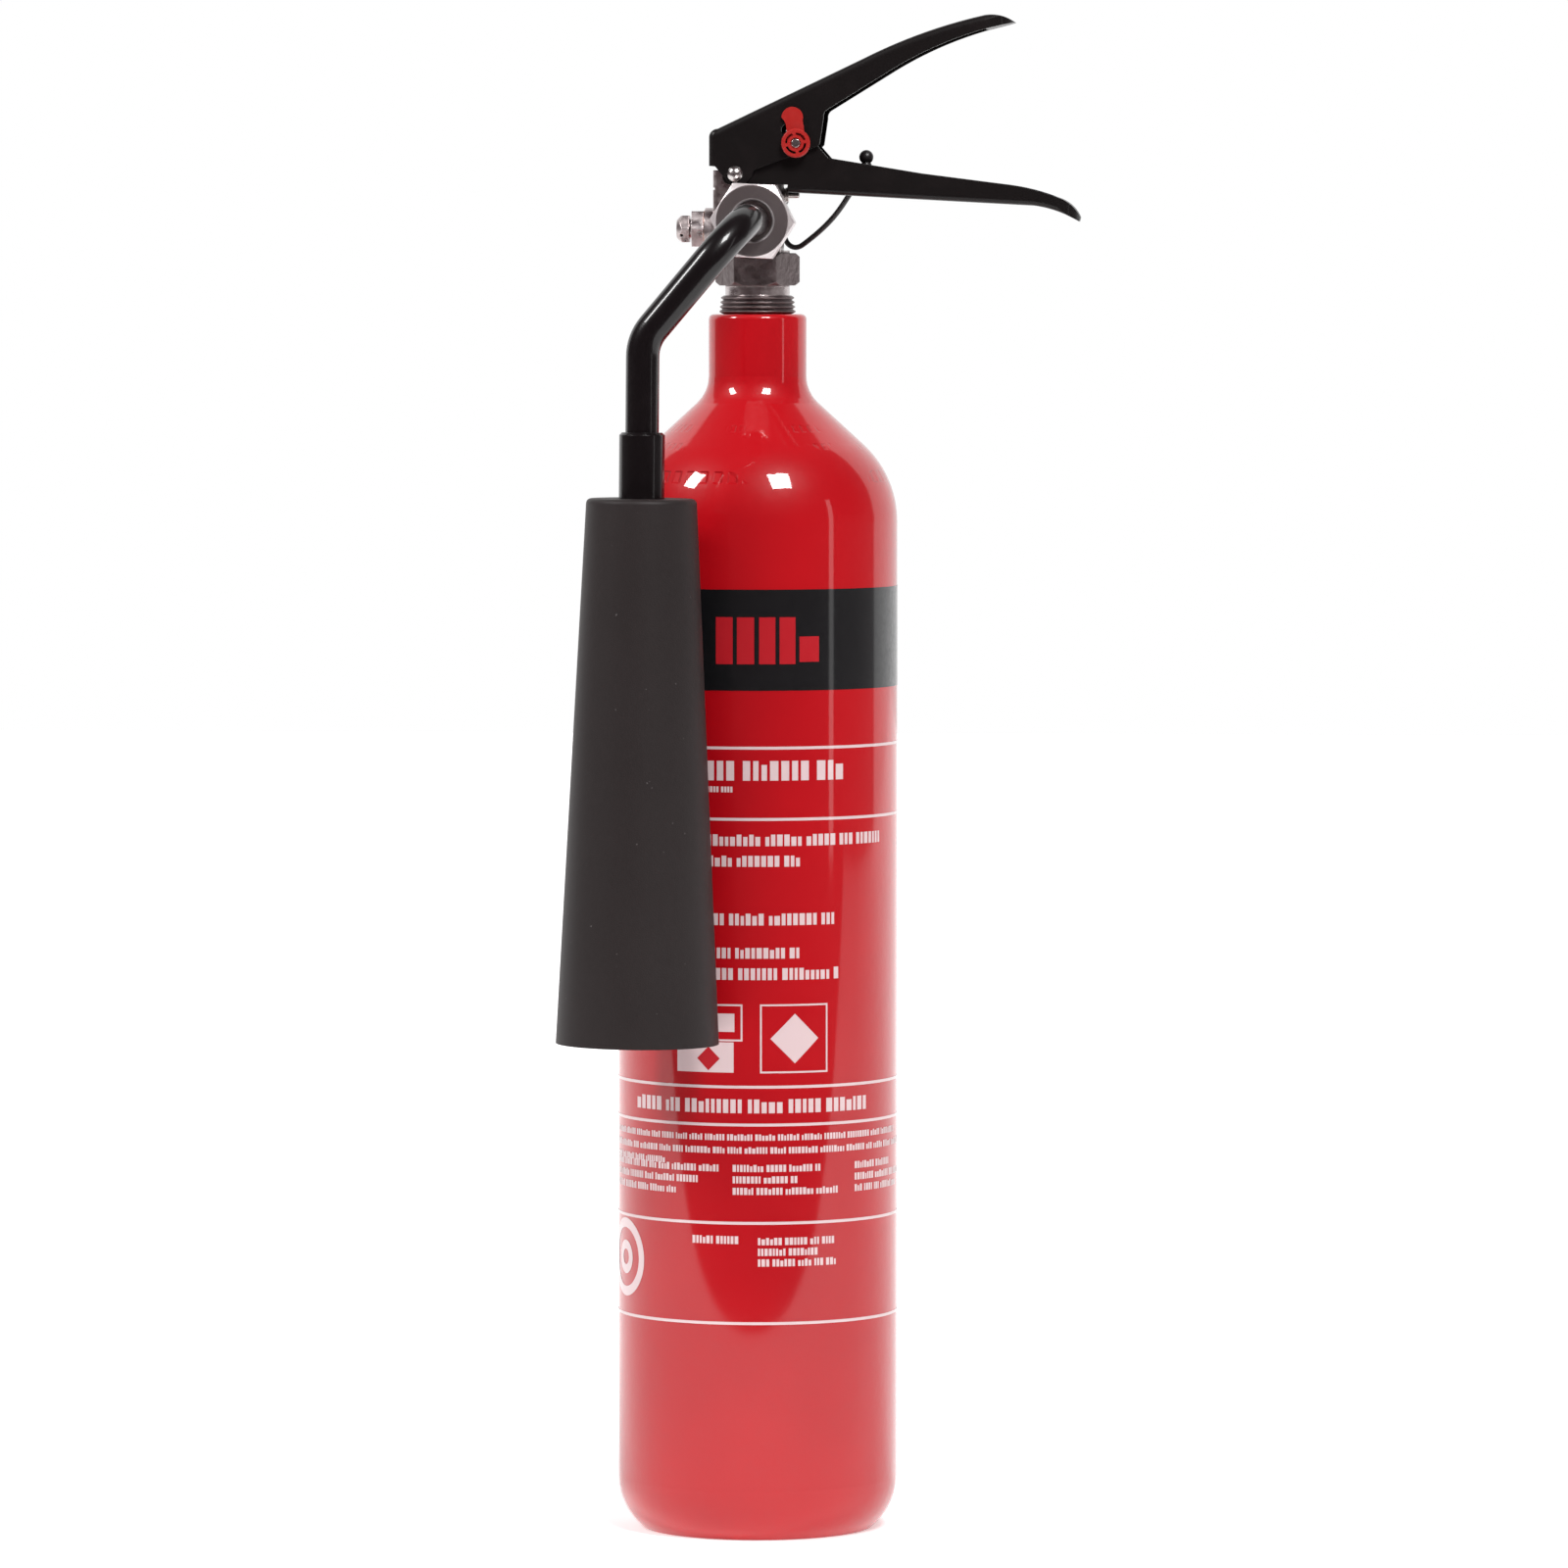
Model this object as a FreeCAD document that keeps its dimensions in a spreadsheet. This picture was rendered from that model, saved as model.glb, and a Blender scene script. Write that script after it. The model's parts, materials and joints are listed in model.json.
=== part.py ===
import FreeCAD, Part
import math
import os
import re

import Sketcher

# A 2 kg carbon dioxide fire extinguisher: seamless cylinder, squeeze-grip valve, swivelling horn.
# Millimetres. The origin is the centre of the foot, +Z is up along the cylinder,
# +X points to the free ends of the two handles and -Y is the way the outlet faces.

V = FreeCAD.Vector
UP = V(0, 0, 1)
os.makedirs("parts", exist_ok=True)
doc = FreeCAD.newDocument("extinguisher")

# ---------------------------------------------------------------- driving sizes
# "v" heights are measured up from the top of the neck, where the valve is screwed in.
SIZES = {
    # cylinder
    "cyl_radius": 54.0,
    "cyl_height": 469.9,
    "cyl_wall": 6.5,
    "base_thickness": 9.0,
    "base_edge": 20.0,
    "base_round": 26.0,
    "base_inside_round": 11.5,
    "foot_edge": 1.5,
    "foot_hollow_radius": 24.0,
    "foot_hollow_depth": 1.2,
    "shoulder_foot_drop": 62.2,
    "shoulder_head_drop": 30.0,
    "shoulder_inside_drop": 4.0,
    "shoulder_round": 40.0,
    "neck_radius": 18.9,
    "neck_round": 14.0,
    "neck_edge": 2.0,
    "neck_thread_radius": 13.0,
    "neck_thread_length": 35.5,
    # valve body
    "shank_length": 28.0,
    "thread_rise": 7.15,
    "thread_pitch": 1.75,
    "thread_depth": 1.0,
    "thread_top_radius": 13.9,
    "thread_taper": 0.8,
    "ring_radius": 12.4,
    "ring_rise": 3.8,
    "collar_flats": 28.2,
    "collar_height": 12.5,
    "collar_chamfer": 1.6,
    "block_left": 16.5,
    "block_right": 9.6,
    "block_width": 22.0,
    "block_corner": 2.0,
    "block_step_v": 47.75,
    "block_groove": 0.8,
    "lug_top_v": 55.25,
    "head_left": 12.0,
    "head_top_v": 63.85,
    "chamber_radius": 7.0,
    "seat_v": 23.45,
    "seat_radius": 3.5,
    "seat_length": 4.4,
    "gallery_radius": 4.5,
    "gallery_top_v": 39.85,
    "gland_radius": 6.0,
    "gland_foot_v": 55.85,
    # outlet and its nut
    "outlet_v": 35.75,
    "outlet_bore": 3.5,
    "outlet_boss_radius": 11.0,
    "outlet_reach": 22.0,
    "socket_depth": 6.5,
    "nut_flats": 28.2,
    "nut_foot": 17.0,
    "nut_reach": 30.0,
    "nut_lip": 4.0,
    "nut_hole_radius": 7.65,
    "nut_chamfer": 2.4,
    "nut_turn": 3.0,
    # bursting disc port
    "port_v": 32.75,
    "port_boss_radius": 8.1,
    "port_boss_length": 3.6,
    "port_thread_radius": 5.0,
    "port_depth": 6.1,
    "pressure_bore": 1.2,
    "pressure_bore_offset": 10.2,
    "washer_thickness": 0.4,
    "holder_flats": 13.6,
    "holder_length": 4.7,
    "holder_bore": 2.0,
    "disc_neck_radius": 3.9,
    "disc_neck_length": 1.0,
    "disc_stub_radius": 3.2,
    "disc_stub_length": 2.8,
    "disc_thickness": 0.3,
    "cap_flats": 10.2,
    "cap_length": 4.9,
    "cap_end": 1.4,
    "vent_radius": 0.65,
    # stem, poppet and spring
    "stem_radius": 3.0,
    "running_gap": 0.05,
    "stem_tip_radius": 1.5,
    "button_radius": 4.0,
    "button_foot_v": 70.2,
    "button_side": 3.1,
    "button_dome": 5.0,
    "poppet_radius": 6.2,
    "poppet_height": 4.7,
    "seal_radius": 5.2,
    "seal_proud": 1.3,
    "seal_gap": 0.1,
    "spring_wire": 0.6,
    "spring_coil": 4.6,
    "spring_pitch": 3.2,
    "retainer_top_v": 2.0,
    "retainer_thickness": 8.0,
    "retainer_bore": 3.0,
    "gland_nut_radius": 7.2,
    "gland_nut_height": 3.0,
    "gland_ring_wire": 1.0,
    "tube_radius": 5.0,
    "tube_wall": 1.0,
    "tube_spigot": 8.0,
    "tube_foot_gap": 5.0,
    # handles
    "gauge": 1.6,
    "handle_width": "=block_width + 2 * gauge",
    "handle_web_v": 46.75,
    "handle_web_start": 12.5,
    "handle_reach": 124.7,
    "handle_plan_round": 10.0,
    "handle_fall": 5.1,
    "handle_tip_fall": 11.2,
    "handle_edge": 2.2,
    "cheek_drop": 3.9,
    "cheek_back": 5.0,
    "lever_gap": 0.4,
    "lever_back": 17.8,
    "lever_reach": 99.5,
    "lever_plan_round": 11.0,
    "lever_tip_rise": 49.0,
    "lever_bow_rise": 32.4,
    "lever_bow_radius": 200.0,
    "lever_bow_run": 58.0,
    "lever_edge": 2.4,
    "pivot_x": -7.6,
    "pivot_v": 53.75,
    "pivot_radius": 2.5,
    "rivet_head_radius": 3.12,
    "rivet_head_gap": 0.3,
    "rivet_head_height": 1.9,
    "screw_drop": 1.1,
    "screw_radius": 3.0,
    "screw_tip_radius": 1.1,
    "screw_tip_reach": 16.2,
    # safety pin, seal and pull ring
    "pin_x": 15.9,
    "pin_v": 65.5,
    "pin_radius": 2.0,
    "pin_front": 17.4,
    "eye_y": 25.0,
    "eye_radius": 4.0,
    "eye_thickness": 3.0,
    "eye_hole": 1.6,
    "slot_gap": 0.5,
    "slot_left": 3.3,
    "slot_rise": 5.0,
    "tag_gap": 0.3,
    "tag_thickness": 1.0,
    "tag_head_radius": 4.15,
    "tag_neck": 3.3,
    "tag_lean": 1.4,
    "tag_rise": 9.8,
    "seal_ring_radius": 5.55,
    "seal_ring_thickness": 1.5,
    "seal_slot_radius": 3.6,
    "seal_slot_width": 0.9,
    "pull_ring_radius": 8.6,
    "pull_ring_wire": 0.9,
    # tether
    "tether_radius": 1.05,
    "tether_hole": 2.6,
    "eyelet_y": 17.0,
    "eyelet_radius": 4.0,
    "ball_radius": 2.75,
    "ball_skirt_radius": 2.4,
    # horn
    "spigot_radius": 5.0,
    "flange_radius": 9.5,
    "flange_thickness": 2.2,
    "swivel_washer": 1.0,
    "swivel_gap": 0.3,
    "horn_tube_radius": 6.35,
    "horn_tube_wall": 1.5,
    "tail_neck": 5.5,
    "tube_slope": 39.95,
    "tube_run": 59.0,
    "tube_bend": 22.0,
    "elbow_bend": 17.0,
    "horn_lean": 0.5,
    "horn_drop": 59.8,
    "horn_gap": 1.8,
    "horn_length": 206.7,
    "horn_top_radius": 20.9,
    "horn_mouth_radius": 31.0,
    "horn_wall": 2.2,
    "horn_roof": 3.0,
    "horn_edge": 2.0,
    "ferrule_radius": 8.65,
    "ferrule_length": 25.0,
    "ferrule_grip": 19.0,
    "ferrule_spigot_radius": 7.0,
    "ferrule_spigot_length": 8.0,
    "orifice_radius": 1.25,
    "orifice_thickness": 2.0,
    "lock_nut_flats": 18.0,
    "lock_nut_height": 4.0,
}

sheet = doc.addObject("Spreadsheet::Sheet", "Sheet")
for row, (alias, size) in enumerate(SIZES.items(), start=1):
    sheet.set(f"A{row}", alias)
    sheet.set(f"B{row}", str(size))
    sheet.setAlias(f"B{row}", alias)
doc.recompute()

parts = []


# ---------------------------------------------------------------- small helpers
def bound(formula):
    """Write a size formula with every sheet alias in full."""
    return re.sub(r"[a-z_]+", lambda word: "Sheet." + word[0] if word[0] in SIZES else word[0], formula)


def value(formula):
    """The number that a size formula gives now."""
    return float(sheet.evalExpression(bound(formula)))


def place(thing, x="0", y="0", z="0", turn=None):
    """Set a placement: a fixed (axis, angle) turn, and a position bound to the sheet."""
    if turn is not None:
        thing.Placement = FreeCAD.Placement(V(0, 0, 0), FreeCAD.Rotation(V(*turn[0]), turn[1]))
    for axis, formula in zip("xyz", (x, y, z)):
        thing.setExpression("Placement.Base." + axis, bound(formula))


# Turns that send a piece's own +Z to a direction of the object.
TO_FRONT = ((1, 0, 0), 90)
TO_BACK = ((1, 0, 0), -90)
TO_LEFT = ((0, 1, 0), -90)
TO_RIGHT = ((0, 1, 0), 90)


def new_body(label, **where):
    body = doc.addObject("PartDesign::Body", label)
    body.Label = label
    place(body, **where)
    return body


def new_sketch(body, plane, offset="0"):
    origin_plane = [item for item in body.Origin.OriginFeatures if item.Role == plane][0]
    sketch = body.newObject("Sketcher::SketchObject", "Sketch")
    sketch.AttachmentSupport = [(origin_plane, "")]
    sketch.MapMode = "FlatFace"
    sketch.setExpression("AttachmentOffset.Base.z", bound(offset))
    return sketch


def arc_between(start, end, radius, turn):
    """The arc from start to end; turn is 1 when it runs anticlockwise and -1 when clockwise."""
    across, along = end[0] - start[0], end[1] - start[1]
    chord = math.hypot(across, along)
    height = turn * math.sqrt(max(radius**2 - chord**2 / 4, 0.0)) / chord
    centre = ((start[0] + end[0]) / 2 - along * height, (start[1] + end[1]) / 2 + across * height)
    first, last = (start, end) if turn > 0 else (end, start)
    angle_first = math.atan2(first[1] - centre[1], first[0] - centre[0])
    angle_last = math.atan2(last[1] - centre[1], last[0] - centre[0])
    if angle_last < angle_first:
        angle_last += 2 * math.pi
    return Part.ArcOfCircle(Part.Circle(V(*centre, 0), UP, radius), angle_first, angle_last)


def draw_outline(sketch, corners):
    """Close an outline through corners (across, up), all bound to the sheet.

    A corner (across, up, radius, turn) is reached by an arc, any other by a straight line.
    """
    points = [(value(corner[0]), value(corner[1])) for corner in corners]
    first_index = sketch.GeometryCount
    count = len(corners)
    ends = []
    for index, start in enumerate(points):
        reached = corners[(index + 1) % count]
        end = points[(index + 1) % count]
        if len(reached) == 4:
            sketch.addGeometry(arc_between(start, end, value(reached[2]), reached[3]), False)
            ends.append((1, 2) if reached[3] > 0 else (2, 1))
        else:
            sketch.addGeometry(Part.LineSegment(V(*start, 0), V(*end, 0)), False)
            ends.append((1, 2))
    for index in range(count):
        after = (index + 1) % count
        joined = ("Coincident", first_index + index, ends[index][1], first_index + after, ends[after][0])
        sketch.addConstraint(Sketcher.Constraint(*joined))
    for index, corner in enumerate(corners):
        for kind, formula, size in zip(("DistanceX", "DistanceY"), corner, points[index]):
            limit = Sketcher.Constraint(kind, first_index + index, ends[index][0], size)
            number = sketch.addConstraint(limit)
            sketch.setExpression(f"Constraints[{number}]", bound(formula))
        reached = corners[(index + 1) % count]
        if len(reached) == 4:
            limit = Sketcher.Constraint("Radius", first_index + index, value(reached[2]))
            number = sketch.addConstraint(limit)
            sketch.setExpression(f"Constraints[{number}]", bound(reached[2]))


def draw_circle(sketch, across, up, radius):
    index = sketch.addGeometry(Part.Circle(V(value(across), value(up), 0), UP, value(radius)), False)
    for kind, formula in (("DistanceX", across), ("DistanceY", up)):
        number = sketch.addConstraint(Sketcher.Constraint(kind, index, 3, value(formula)))
        sketch.setExpression(f"Constraints[{number}]", bound(formula))
    number = sketch.addConstraint(Sketcher.Constraint("Radius", index, value(radius)))
    sketch.setExpression(f"Constraints[{number}]", bound(radius))


def revolve(body, outline, kind="Revolution"):
    """Turn an outline of (radius, height) corners about the body's own Z axis."""
    sketch = new_sketch(body, "XZ_Plane")
    draw_outline(sketch, outline)
    before = body.Shape.Volume if kind == "Groove" else 0
    feature = body.newObject("PartDesign::" + kind, kind)
    feature.Profile = sketch
    feature.ReferenceAxis = (sketch, ["V_Axis"])
    feature.Angle = 360
    doc.recompute()
    if kind == "Groove" and not feature.Shape.Volume < before - 0.01:
        raise RuntimeError(f"{body.Label}: a groove cuts nothing")
    return feature


def groove(body, outline):
    return revolve(body, outline, "Groove")


def layer(body, kind, plane, shape, offset, length):
    """A pad or pocket that runs along the plane's normal from offset, for length."""
    sketch = new_sketch(body, plane, offset)
    if isinstance(shape, list):
        draw_outline(sketch, shape)
    else:
        draw_circle(sketch, *shape)
    doc.recompute()
    before = body.Shape.Volume if kind == "Pocket" else 0
    feature = body.newObject("PartDesign::" + kind, kind)
    feature.Profile = sketch
    feature.setExpression("Length", bound(length))
    feature.Reversed = kind == "Pocket"
    doc.recompute()
    if kind == "Pocket" and not feature.Shape.Volume < before - 0.01:
        raise RuntimeError(f"{body.Label}: a pocket cuts nothing")
    return feature


def pad(body, plane, shape, length, offset="0"):
    return layer(body, "Pad", plane, shape, offset, length)


def cut(body, plane, shape, length, offset="0"):
    return layer(body, "Pocket", plane, shape, offset, length)


def hexagon(flats, first=0):
    """Corners of a hexagon of the given size across its flats, the first at an angle in degrees."""
    reach = f"{flats} / 2 / cos(30)"
    return [(f"{reach} * cos({angle})", f"{reach} * sin({angle})") for angle in range(first, first + 360, 60)]


def rounded_block(left, right, half, corner):
    """An upright block's plan: left < x < right and |y| < half, with round corners."""
    return [
        (f"{left} + {corner}", f"-({half})", corner, 1),
        (f"{right} - {corner}", f"-({half})"),
        (right, f"{corner} - ({half})", corner, 1),
        (right, f"{half} - {corner}"),
        (f"{right} - {corner}", half, corner, 1),
        (f"{left} + {corner}", half),
        (left, f"{half} - {corner}", corner, 1),
        (left, f"{corner} - ({half})"),
    ]


def round_rims(body, radius, rims):
    """Fillet the circular edges that lie nearest to (radius, height) rims about the body's Z axis."""
    base = body.Tip
    names = []
    for rim_radius, rim_height in rims:
        target = (value(rim_radius), value(rim_height))
        gaps = []
        for number, edge in enumerate(base.Shape.Edges, start=1):
            box = edge.BoundBox
            if box.ZLength < 0.001 and box.XLength > 0.001:
                gaps.append((abs(box.XMax - target[0]) + abs(box.ZMax - target[1]), number))
        names.append(f"Edge{min(gaps)[1]}")
    fillet = body.newObject("PartDesign::Fillet", "Fillet")
    fillet.Base = (base, names)
    fillet.setExpression("Radius", bound(radius))
    doc.recompute()
    return fillet


def round_along(body, radius, corners, half):
    """Fillet the edges of an upright pad that run through consecutive corners, on both its faces."""
    base = body.Tip
    spots = [(value(corner[0]), value(corner[1])) for corner in corners]
    side = value(half)
    names = []
    for number, edge in enumerate(base.Shape.Edges, start=1):
        ends = [vertex.Point for vertex in edge.Vertexes]
        if len(ends) != 2 or any(abs(abs(end.y) - side) > 0.01 for end in ends) or ends[0].y * ends[1].y < 0:
            continue
        for pair in zip(spots, spots[1:]):
            near = [min(math.dist((end.x, end.z), spot) for end in ends) < 0.01 for spot in pair]
            if all(near):
                names.append(f"Edge{number}")
    fillet = body.newObject("PartDesign::Fillet", "Fillet")
    fillet.Base = (base, names)
    fillet.setExpression("Radius", bound(radius))
    doc.recompute()
    return fillet


def keep(thing, label=None):
    """Hand a finished sub-part in under its label."""
    if label:
        thing.Label = label
    parts.append(thing)
    return thing


def solid(label, shape, **where):
    """A sub-part whose shape is set directly, in its own frame."""
    thing = doc.addObject("Part::Feature", label)
    thing.Shape = shape
    place(thing, **where)
    return keep(thing, label)


VALVE = {"z": "cyl_height"}


# ---------------------------------------------------------------- cylinder
def cylinder_shell():
    """Seamless aluminium alloy cylinder, with a foot ring, round knuckle, shoulder and neck."""
    body = new_body("cylinder_shell")
    inside = "cyl_radius - cyl_wall"
    foot_radius = "cyl_radius - base_round + sqrt(base_round ^ 2 - base_edge ^ 2)"
    shoulder_inside = "cyl_height - shoulder_foot_drop - shoulder_inside_drop"
    revolve(
        body,
        [
            ("0", "foot_hollow_depth"),
            ("foot_hollow_radius - 2 * foot_hollow_depth", "foot_hollow_depth"),
            ("foot_hollow_radius", "0"),
            (foot_radius, "0"),
            ("cyl_radius", "base_edge", "base_round", 1),
            ("cyl_radius", "cyl_height - shoulder_foot_drop"),
            ("neck_radius", "cyl_height - shoulder_head_drop"),
            ("neck_radius", "cyl_height"),
            ("neck_thread_radius", "cyl_height"),
            ("neck_thread_radius", "cyl_height - neck_thread_length"),
            (inside, shoulder_inside),
            (inside, "base_thickness"),
            ("0", "base_thickness"),
        ],
    )
    round_rims(body, "foot_edge", [(foot_radius, "0")])
    round_rims(body, "shoulder_round", [("cyl_radius", "cyl_height - shoulder_foot_drop")])
    round_rims(body, "shoulder_round - cyl_wall", [(inside, shoulder_inside)])
    round_rims(body, "neck_round", [("neck_radius", "cyl_height - shoulder_head_drop")])
    round_rims(body, "base_inside_round", [(inside, "base_thickness")])
    round_rims(body, "neck_edge", [("neck_radius", "cyl_height")])
    keep(body)


# ---------------------------------------------------------------- valve body
def valve_threads():
    """Outline of the taper thread that shows above the neck, as separate crests."""
    turns = 4
    corners = []
    for turn in range(turns):
        root = f"thread_top_radius - thread_depth + thread_taper * {(turns - turn) / turns}"
        foot = f"thread_rise - thread_pitch * {turns - turn}"
        corners.append((root, foot))
        corners.append((f"{root} + thread_depth", f"{foot} + 0.35 * thread_pitch"))
        corners.append((f"{root} + thread_depth", f"{foot} + 0.6 * thread_pitch"))
        corners.append((root, f"{foot} + 0.95 * thread_pitch"))
    return corners


def valve_body():
    """Forged and plated brass body: shank, taper thread, hexagon collar, block, outlet and port."""
    body = new_body("valve_body", **VALVE)
    half = "block_width / 2"
    collar_foot = "thread_rise + ring_rise"
    collar_top = f"{collar_foot} + collar_height"
    shank = "neck_thread_radius"
    revolve(
        body,
        [
            ("0", "-shank_length"),
            (f"{shank} - 1.5", "-shank_length"),
            (shank, "1.5 - shank_length"),
            (shank, "0"),
        ]
        + valve_threads()
        + [
            ("thread_top_radius - thread_depth", "thread_rise"),
            ("ring_radius", "thread_rise"),
            ("ring_radius", f"{collar_top} + 1"),
            ("0", f"{collar_top} + 1"),
        ],
    )
    pad(body, "XY_Plane", hexagon("collar_flats"), "collar_height", collar_foot)
    corner = "collar_flats / 2 / cos(30)"
    for height, way in ((collar_top, "-"), (collar_foot, "+")):
        groove(
            body,
            [
                (f"{corner} - collar_chamfer", height),
                (f"{corner} + 1", height),
                (f"{corner} + 1", f"{height} {way} collar_chamfer * 1.4"),
                (corner, f"{height} {way} collar_chamfer * 0.9"),
            ],
        )
    lower = rounded_block("-block_left", "block_right", half, "block_corner")
    pad(body, "XY_Plane", lower, "lug_top_v - thread_rise - ring_rise - collar_height", collar_top)
    upper = rounded_block("-head_left", "block_right", half, "block_corner")
    pad(body, "XY_Plane", upper, "head_top_v - block_step_v", "block_step_v")
    groove_corners = [
        ("-block_left - 1", "block_step_v"),
        ("block_groove - block_left", "block_step_v"),
        ("block_groove - block_left", "block_step_v + block_groove"),
        ("-block_left - 1", "block_step_v + block_groove"),
    ]
    cut(body, "XZ_Plane", groove_corners, "block_width + 2", f"-({half}) - 1")
    pad(body, "XZ_Plane", ("0", "outlet_v", "outlet_boss_radius"), "outlet_reach")
    port_face = "-block_left - port_boss_length"
    pad(body, "YZ_Plane", ("0", "port_v", "port_boss_radius"), "block_left", port_face)
    bore = "stem_radius + running_gap"
    seat_top = "seat_v + seat_length"
    groove(
        body,
        [
            ("0", "-shank_length - 1"),
            ("chamber_radius", "-shank_length - 1"),
            ("chamber_radius", "seat_v"),
            ("seat_radius", "seat_v"),
            ("seat_radius", seat_top),
            ("gallery_radius", seat_top),
            ("gallery_radius", "gallery_top_v"),
            (bore, "gallery_top_v"),
            (bore, "gland_foot_v"),
            ("gland_radius", "gland_foot_v"),
            ("gland_radius", "head_top_v + 1"),
            ("0", "head_top_v + 1"),
        ],
    )
    cut(body, "XZ_Plane", ("0", "outlet_v", "outlet_bore"), "outlet_reach - 1")
    socket = ("0", "outlet_v", "spigot_radius + running_gap")
    cut(body, "XZ_Plane", socket, "socket_depth + 1", "outlet_reach - socket_depth")
    cut(body, "YZ_Plane", ("0", "port_v", "port_thread_radius"), "port_depth + 1", f"{port_face} - 1")
    side_hole = ("0", "port_v", "pressure_bore * 1.2")
    cut(body, "YZ_Plane", side_hole, "block_left + port_boss_length - pressure_bore_offset", port_face)
    pressure = ("-pressure_bore_offset", "0", "pressure_bore")
    cut(body, "XY_Plane", pressure, "shank_length + port_v + 1", "-shank_length - 1")
    cut(body, "XZ_Plane", ("pivot_x", "pivot_v", "pivot_radius"), "block_width + 2", f"-({half}) - 1")
    screw = ("0", "handle_web_v - screw_drop", "screw_radius")
    cut(body, "YZ_Plane", screw, "block_right", "gallery_radius")
    keep(body)


# ---------------------------------------------------------------- inside the valve
def stem_pieces():
    """The moving stem with its button, the poppet below the seat and the poppet's soft seal."""
    seal_top = "seat_v - seal_gap"
    poppet_top = f"{seal_top} - seal_proud"
    poppet_foot = f"{poppet_top} - poppet_height"
    tip_top = "seat_v + seat_length + 1.5"
    stem = new_body("valve_stem", **VALVE)
    dome_rise = "sqrt(button_dome ^ 2 - button_radius ^ 2)"
    dome_base = "button_foot_v + button_side"
    revolve(
        stem,
        [
            ("0", f"{poppet_foot} + 1"),
            ("stem_tip_radius", f"{poppet_foot} + 1"),
            ("stem_tip_radius", tip_top),
            ("stem_radius", f"{tip_top} + 1.5"),
            ("stem_radius", "button_foot_v"),
            ("button_radius", "button_foot_v"),
            ("button_radius", dome_base),
            ("0", f"{dome_base} + button_dome - {dome_rise}", "button_dome", 1),
        ],
    )
    keep(stem)
    poppet = new_body("valve_poppet", **VALVE)
    revolve(
        poppet,
        [
            ("0", poppet_foot),
            ("poppet_radius - 2", poppet_foot),
            ("poppet_radius", f"{poppet_foot} + 1.5"),
            ("poppet_radius", poppet_top),
            ("seal_radius", poppet_top),
            ("seal_radius", f"{poppet_top} - 1.6"),
            ("stem_tip_radius", f"{poppet_top} - 1.6"),
            ("stem_tip_radius", f"{poppet_foot} + 1"),
            ("0", f"{poppet_foot} + 1"),
        ],
    )
    keep(poppet)
    seal = new_body("poppet_seal", **VALVE)
    revolve(
        seal,
        [
            ("stem_tip_radius", f"{poppet_top} - 1.6"),
            ("seal_radius", f"{poppet_top} - 1.6"),
            ("seal_radius", f"{seal_top} - 0.3"),
            ("seal_radius - 0.3", seal_top),
            ("stem_tip_radius", seal_top),
        ],
    )
    keep(seal)


def valve_spring():
    """Coil spring between the retainer and the poppet."""
    body = new_body("valve_spring", **VALVE)
    sketch = new_sketch(body, "XZ_Plane")
    foot = "retainer_top_v + spring_wire"
    draw_circle(sketch, "spring_coil", foot, "spring_wire")
    doc.recompute()
    coil = body.newObject("PartDesign::AdditiveHelix", "Helix")
    coil.Profile = sketch
    coil.ReferenceAxis = (sketch, ["V_Axis"])
    coil.Mode = "pitch-height-angle"
    coil.setExpression("Pitch", bound("spring_pitch"))
    poppet_foot = "seat_v - seal_gap - seal_proud - poppet_height"
    coil.setExpression("Height", bound(f"{poppet_foot} - ({foot}) - spring_wire - running_gap"))
    doc.recompute()
    keep(body)


def spring_retainer():
    """Threaded ring that carries the spring and the dip tube, in the shank."""
    body = new_body("spring_retainer", **VALVE)
    foot = "retainer_top_v - retainer_thickness"
    spigot = "tube_radius - tube_wall"
    revolve(
        body,
        [
            ("retainer_bore", "retainer_top_v"),
            ("retainer_bore", f"{foot} - tube_spigot"),
            (spigot, f"{foot} - tube_spigot"),
            (spigot, foot),
            ("chamber_radius", foot),
            ("chamber_radius", "retainer_top_v"),
        ],
    )
    keep(body)


def dip_tube():
    """Tube from the valve down to the bottom of the cylinder, cut slantwise at its foot."""
    body = new_body("dip_tube", **VALVE)
    top = "retainer_top_v - retainer_thickness"
    foot = "base_thickness + tube_foot_gap - cyl_height"
    inner = "tube_radius - tube_wall"
    revolve(body, [(inner, top), (inner, foot), ("tube_radius", foot), ("tube_radius", top)])
    slant = [
        ("-tube_radius - 1", f"{foot} - 1"),
        ("tube_radius + 1", f"{foot} - 1"),
        ("tube_radius + 1", f"{foot} + 2 * tube_radius"),
    ]
    cut(body, "XZ_Plane", slant, "2 * tube_radius + 2", "-tube_radius - 1")
    keep(body)


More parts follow.
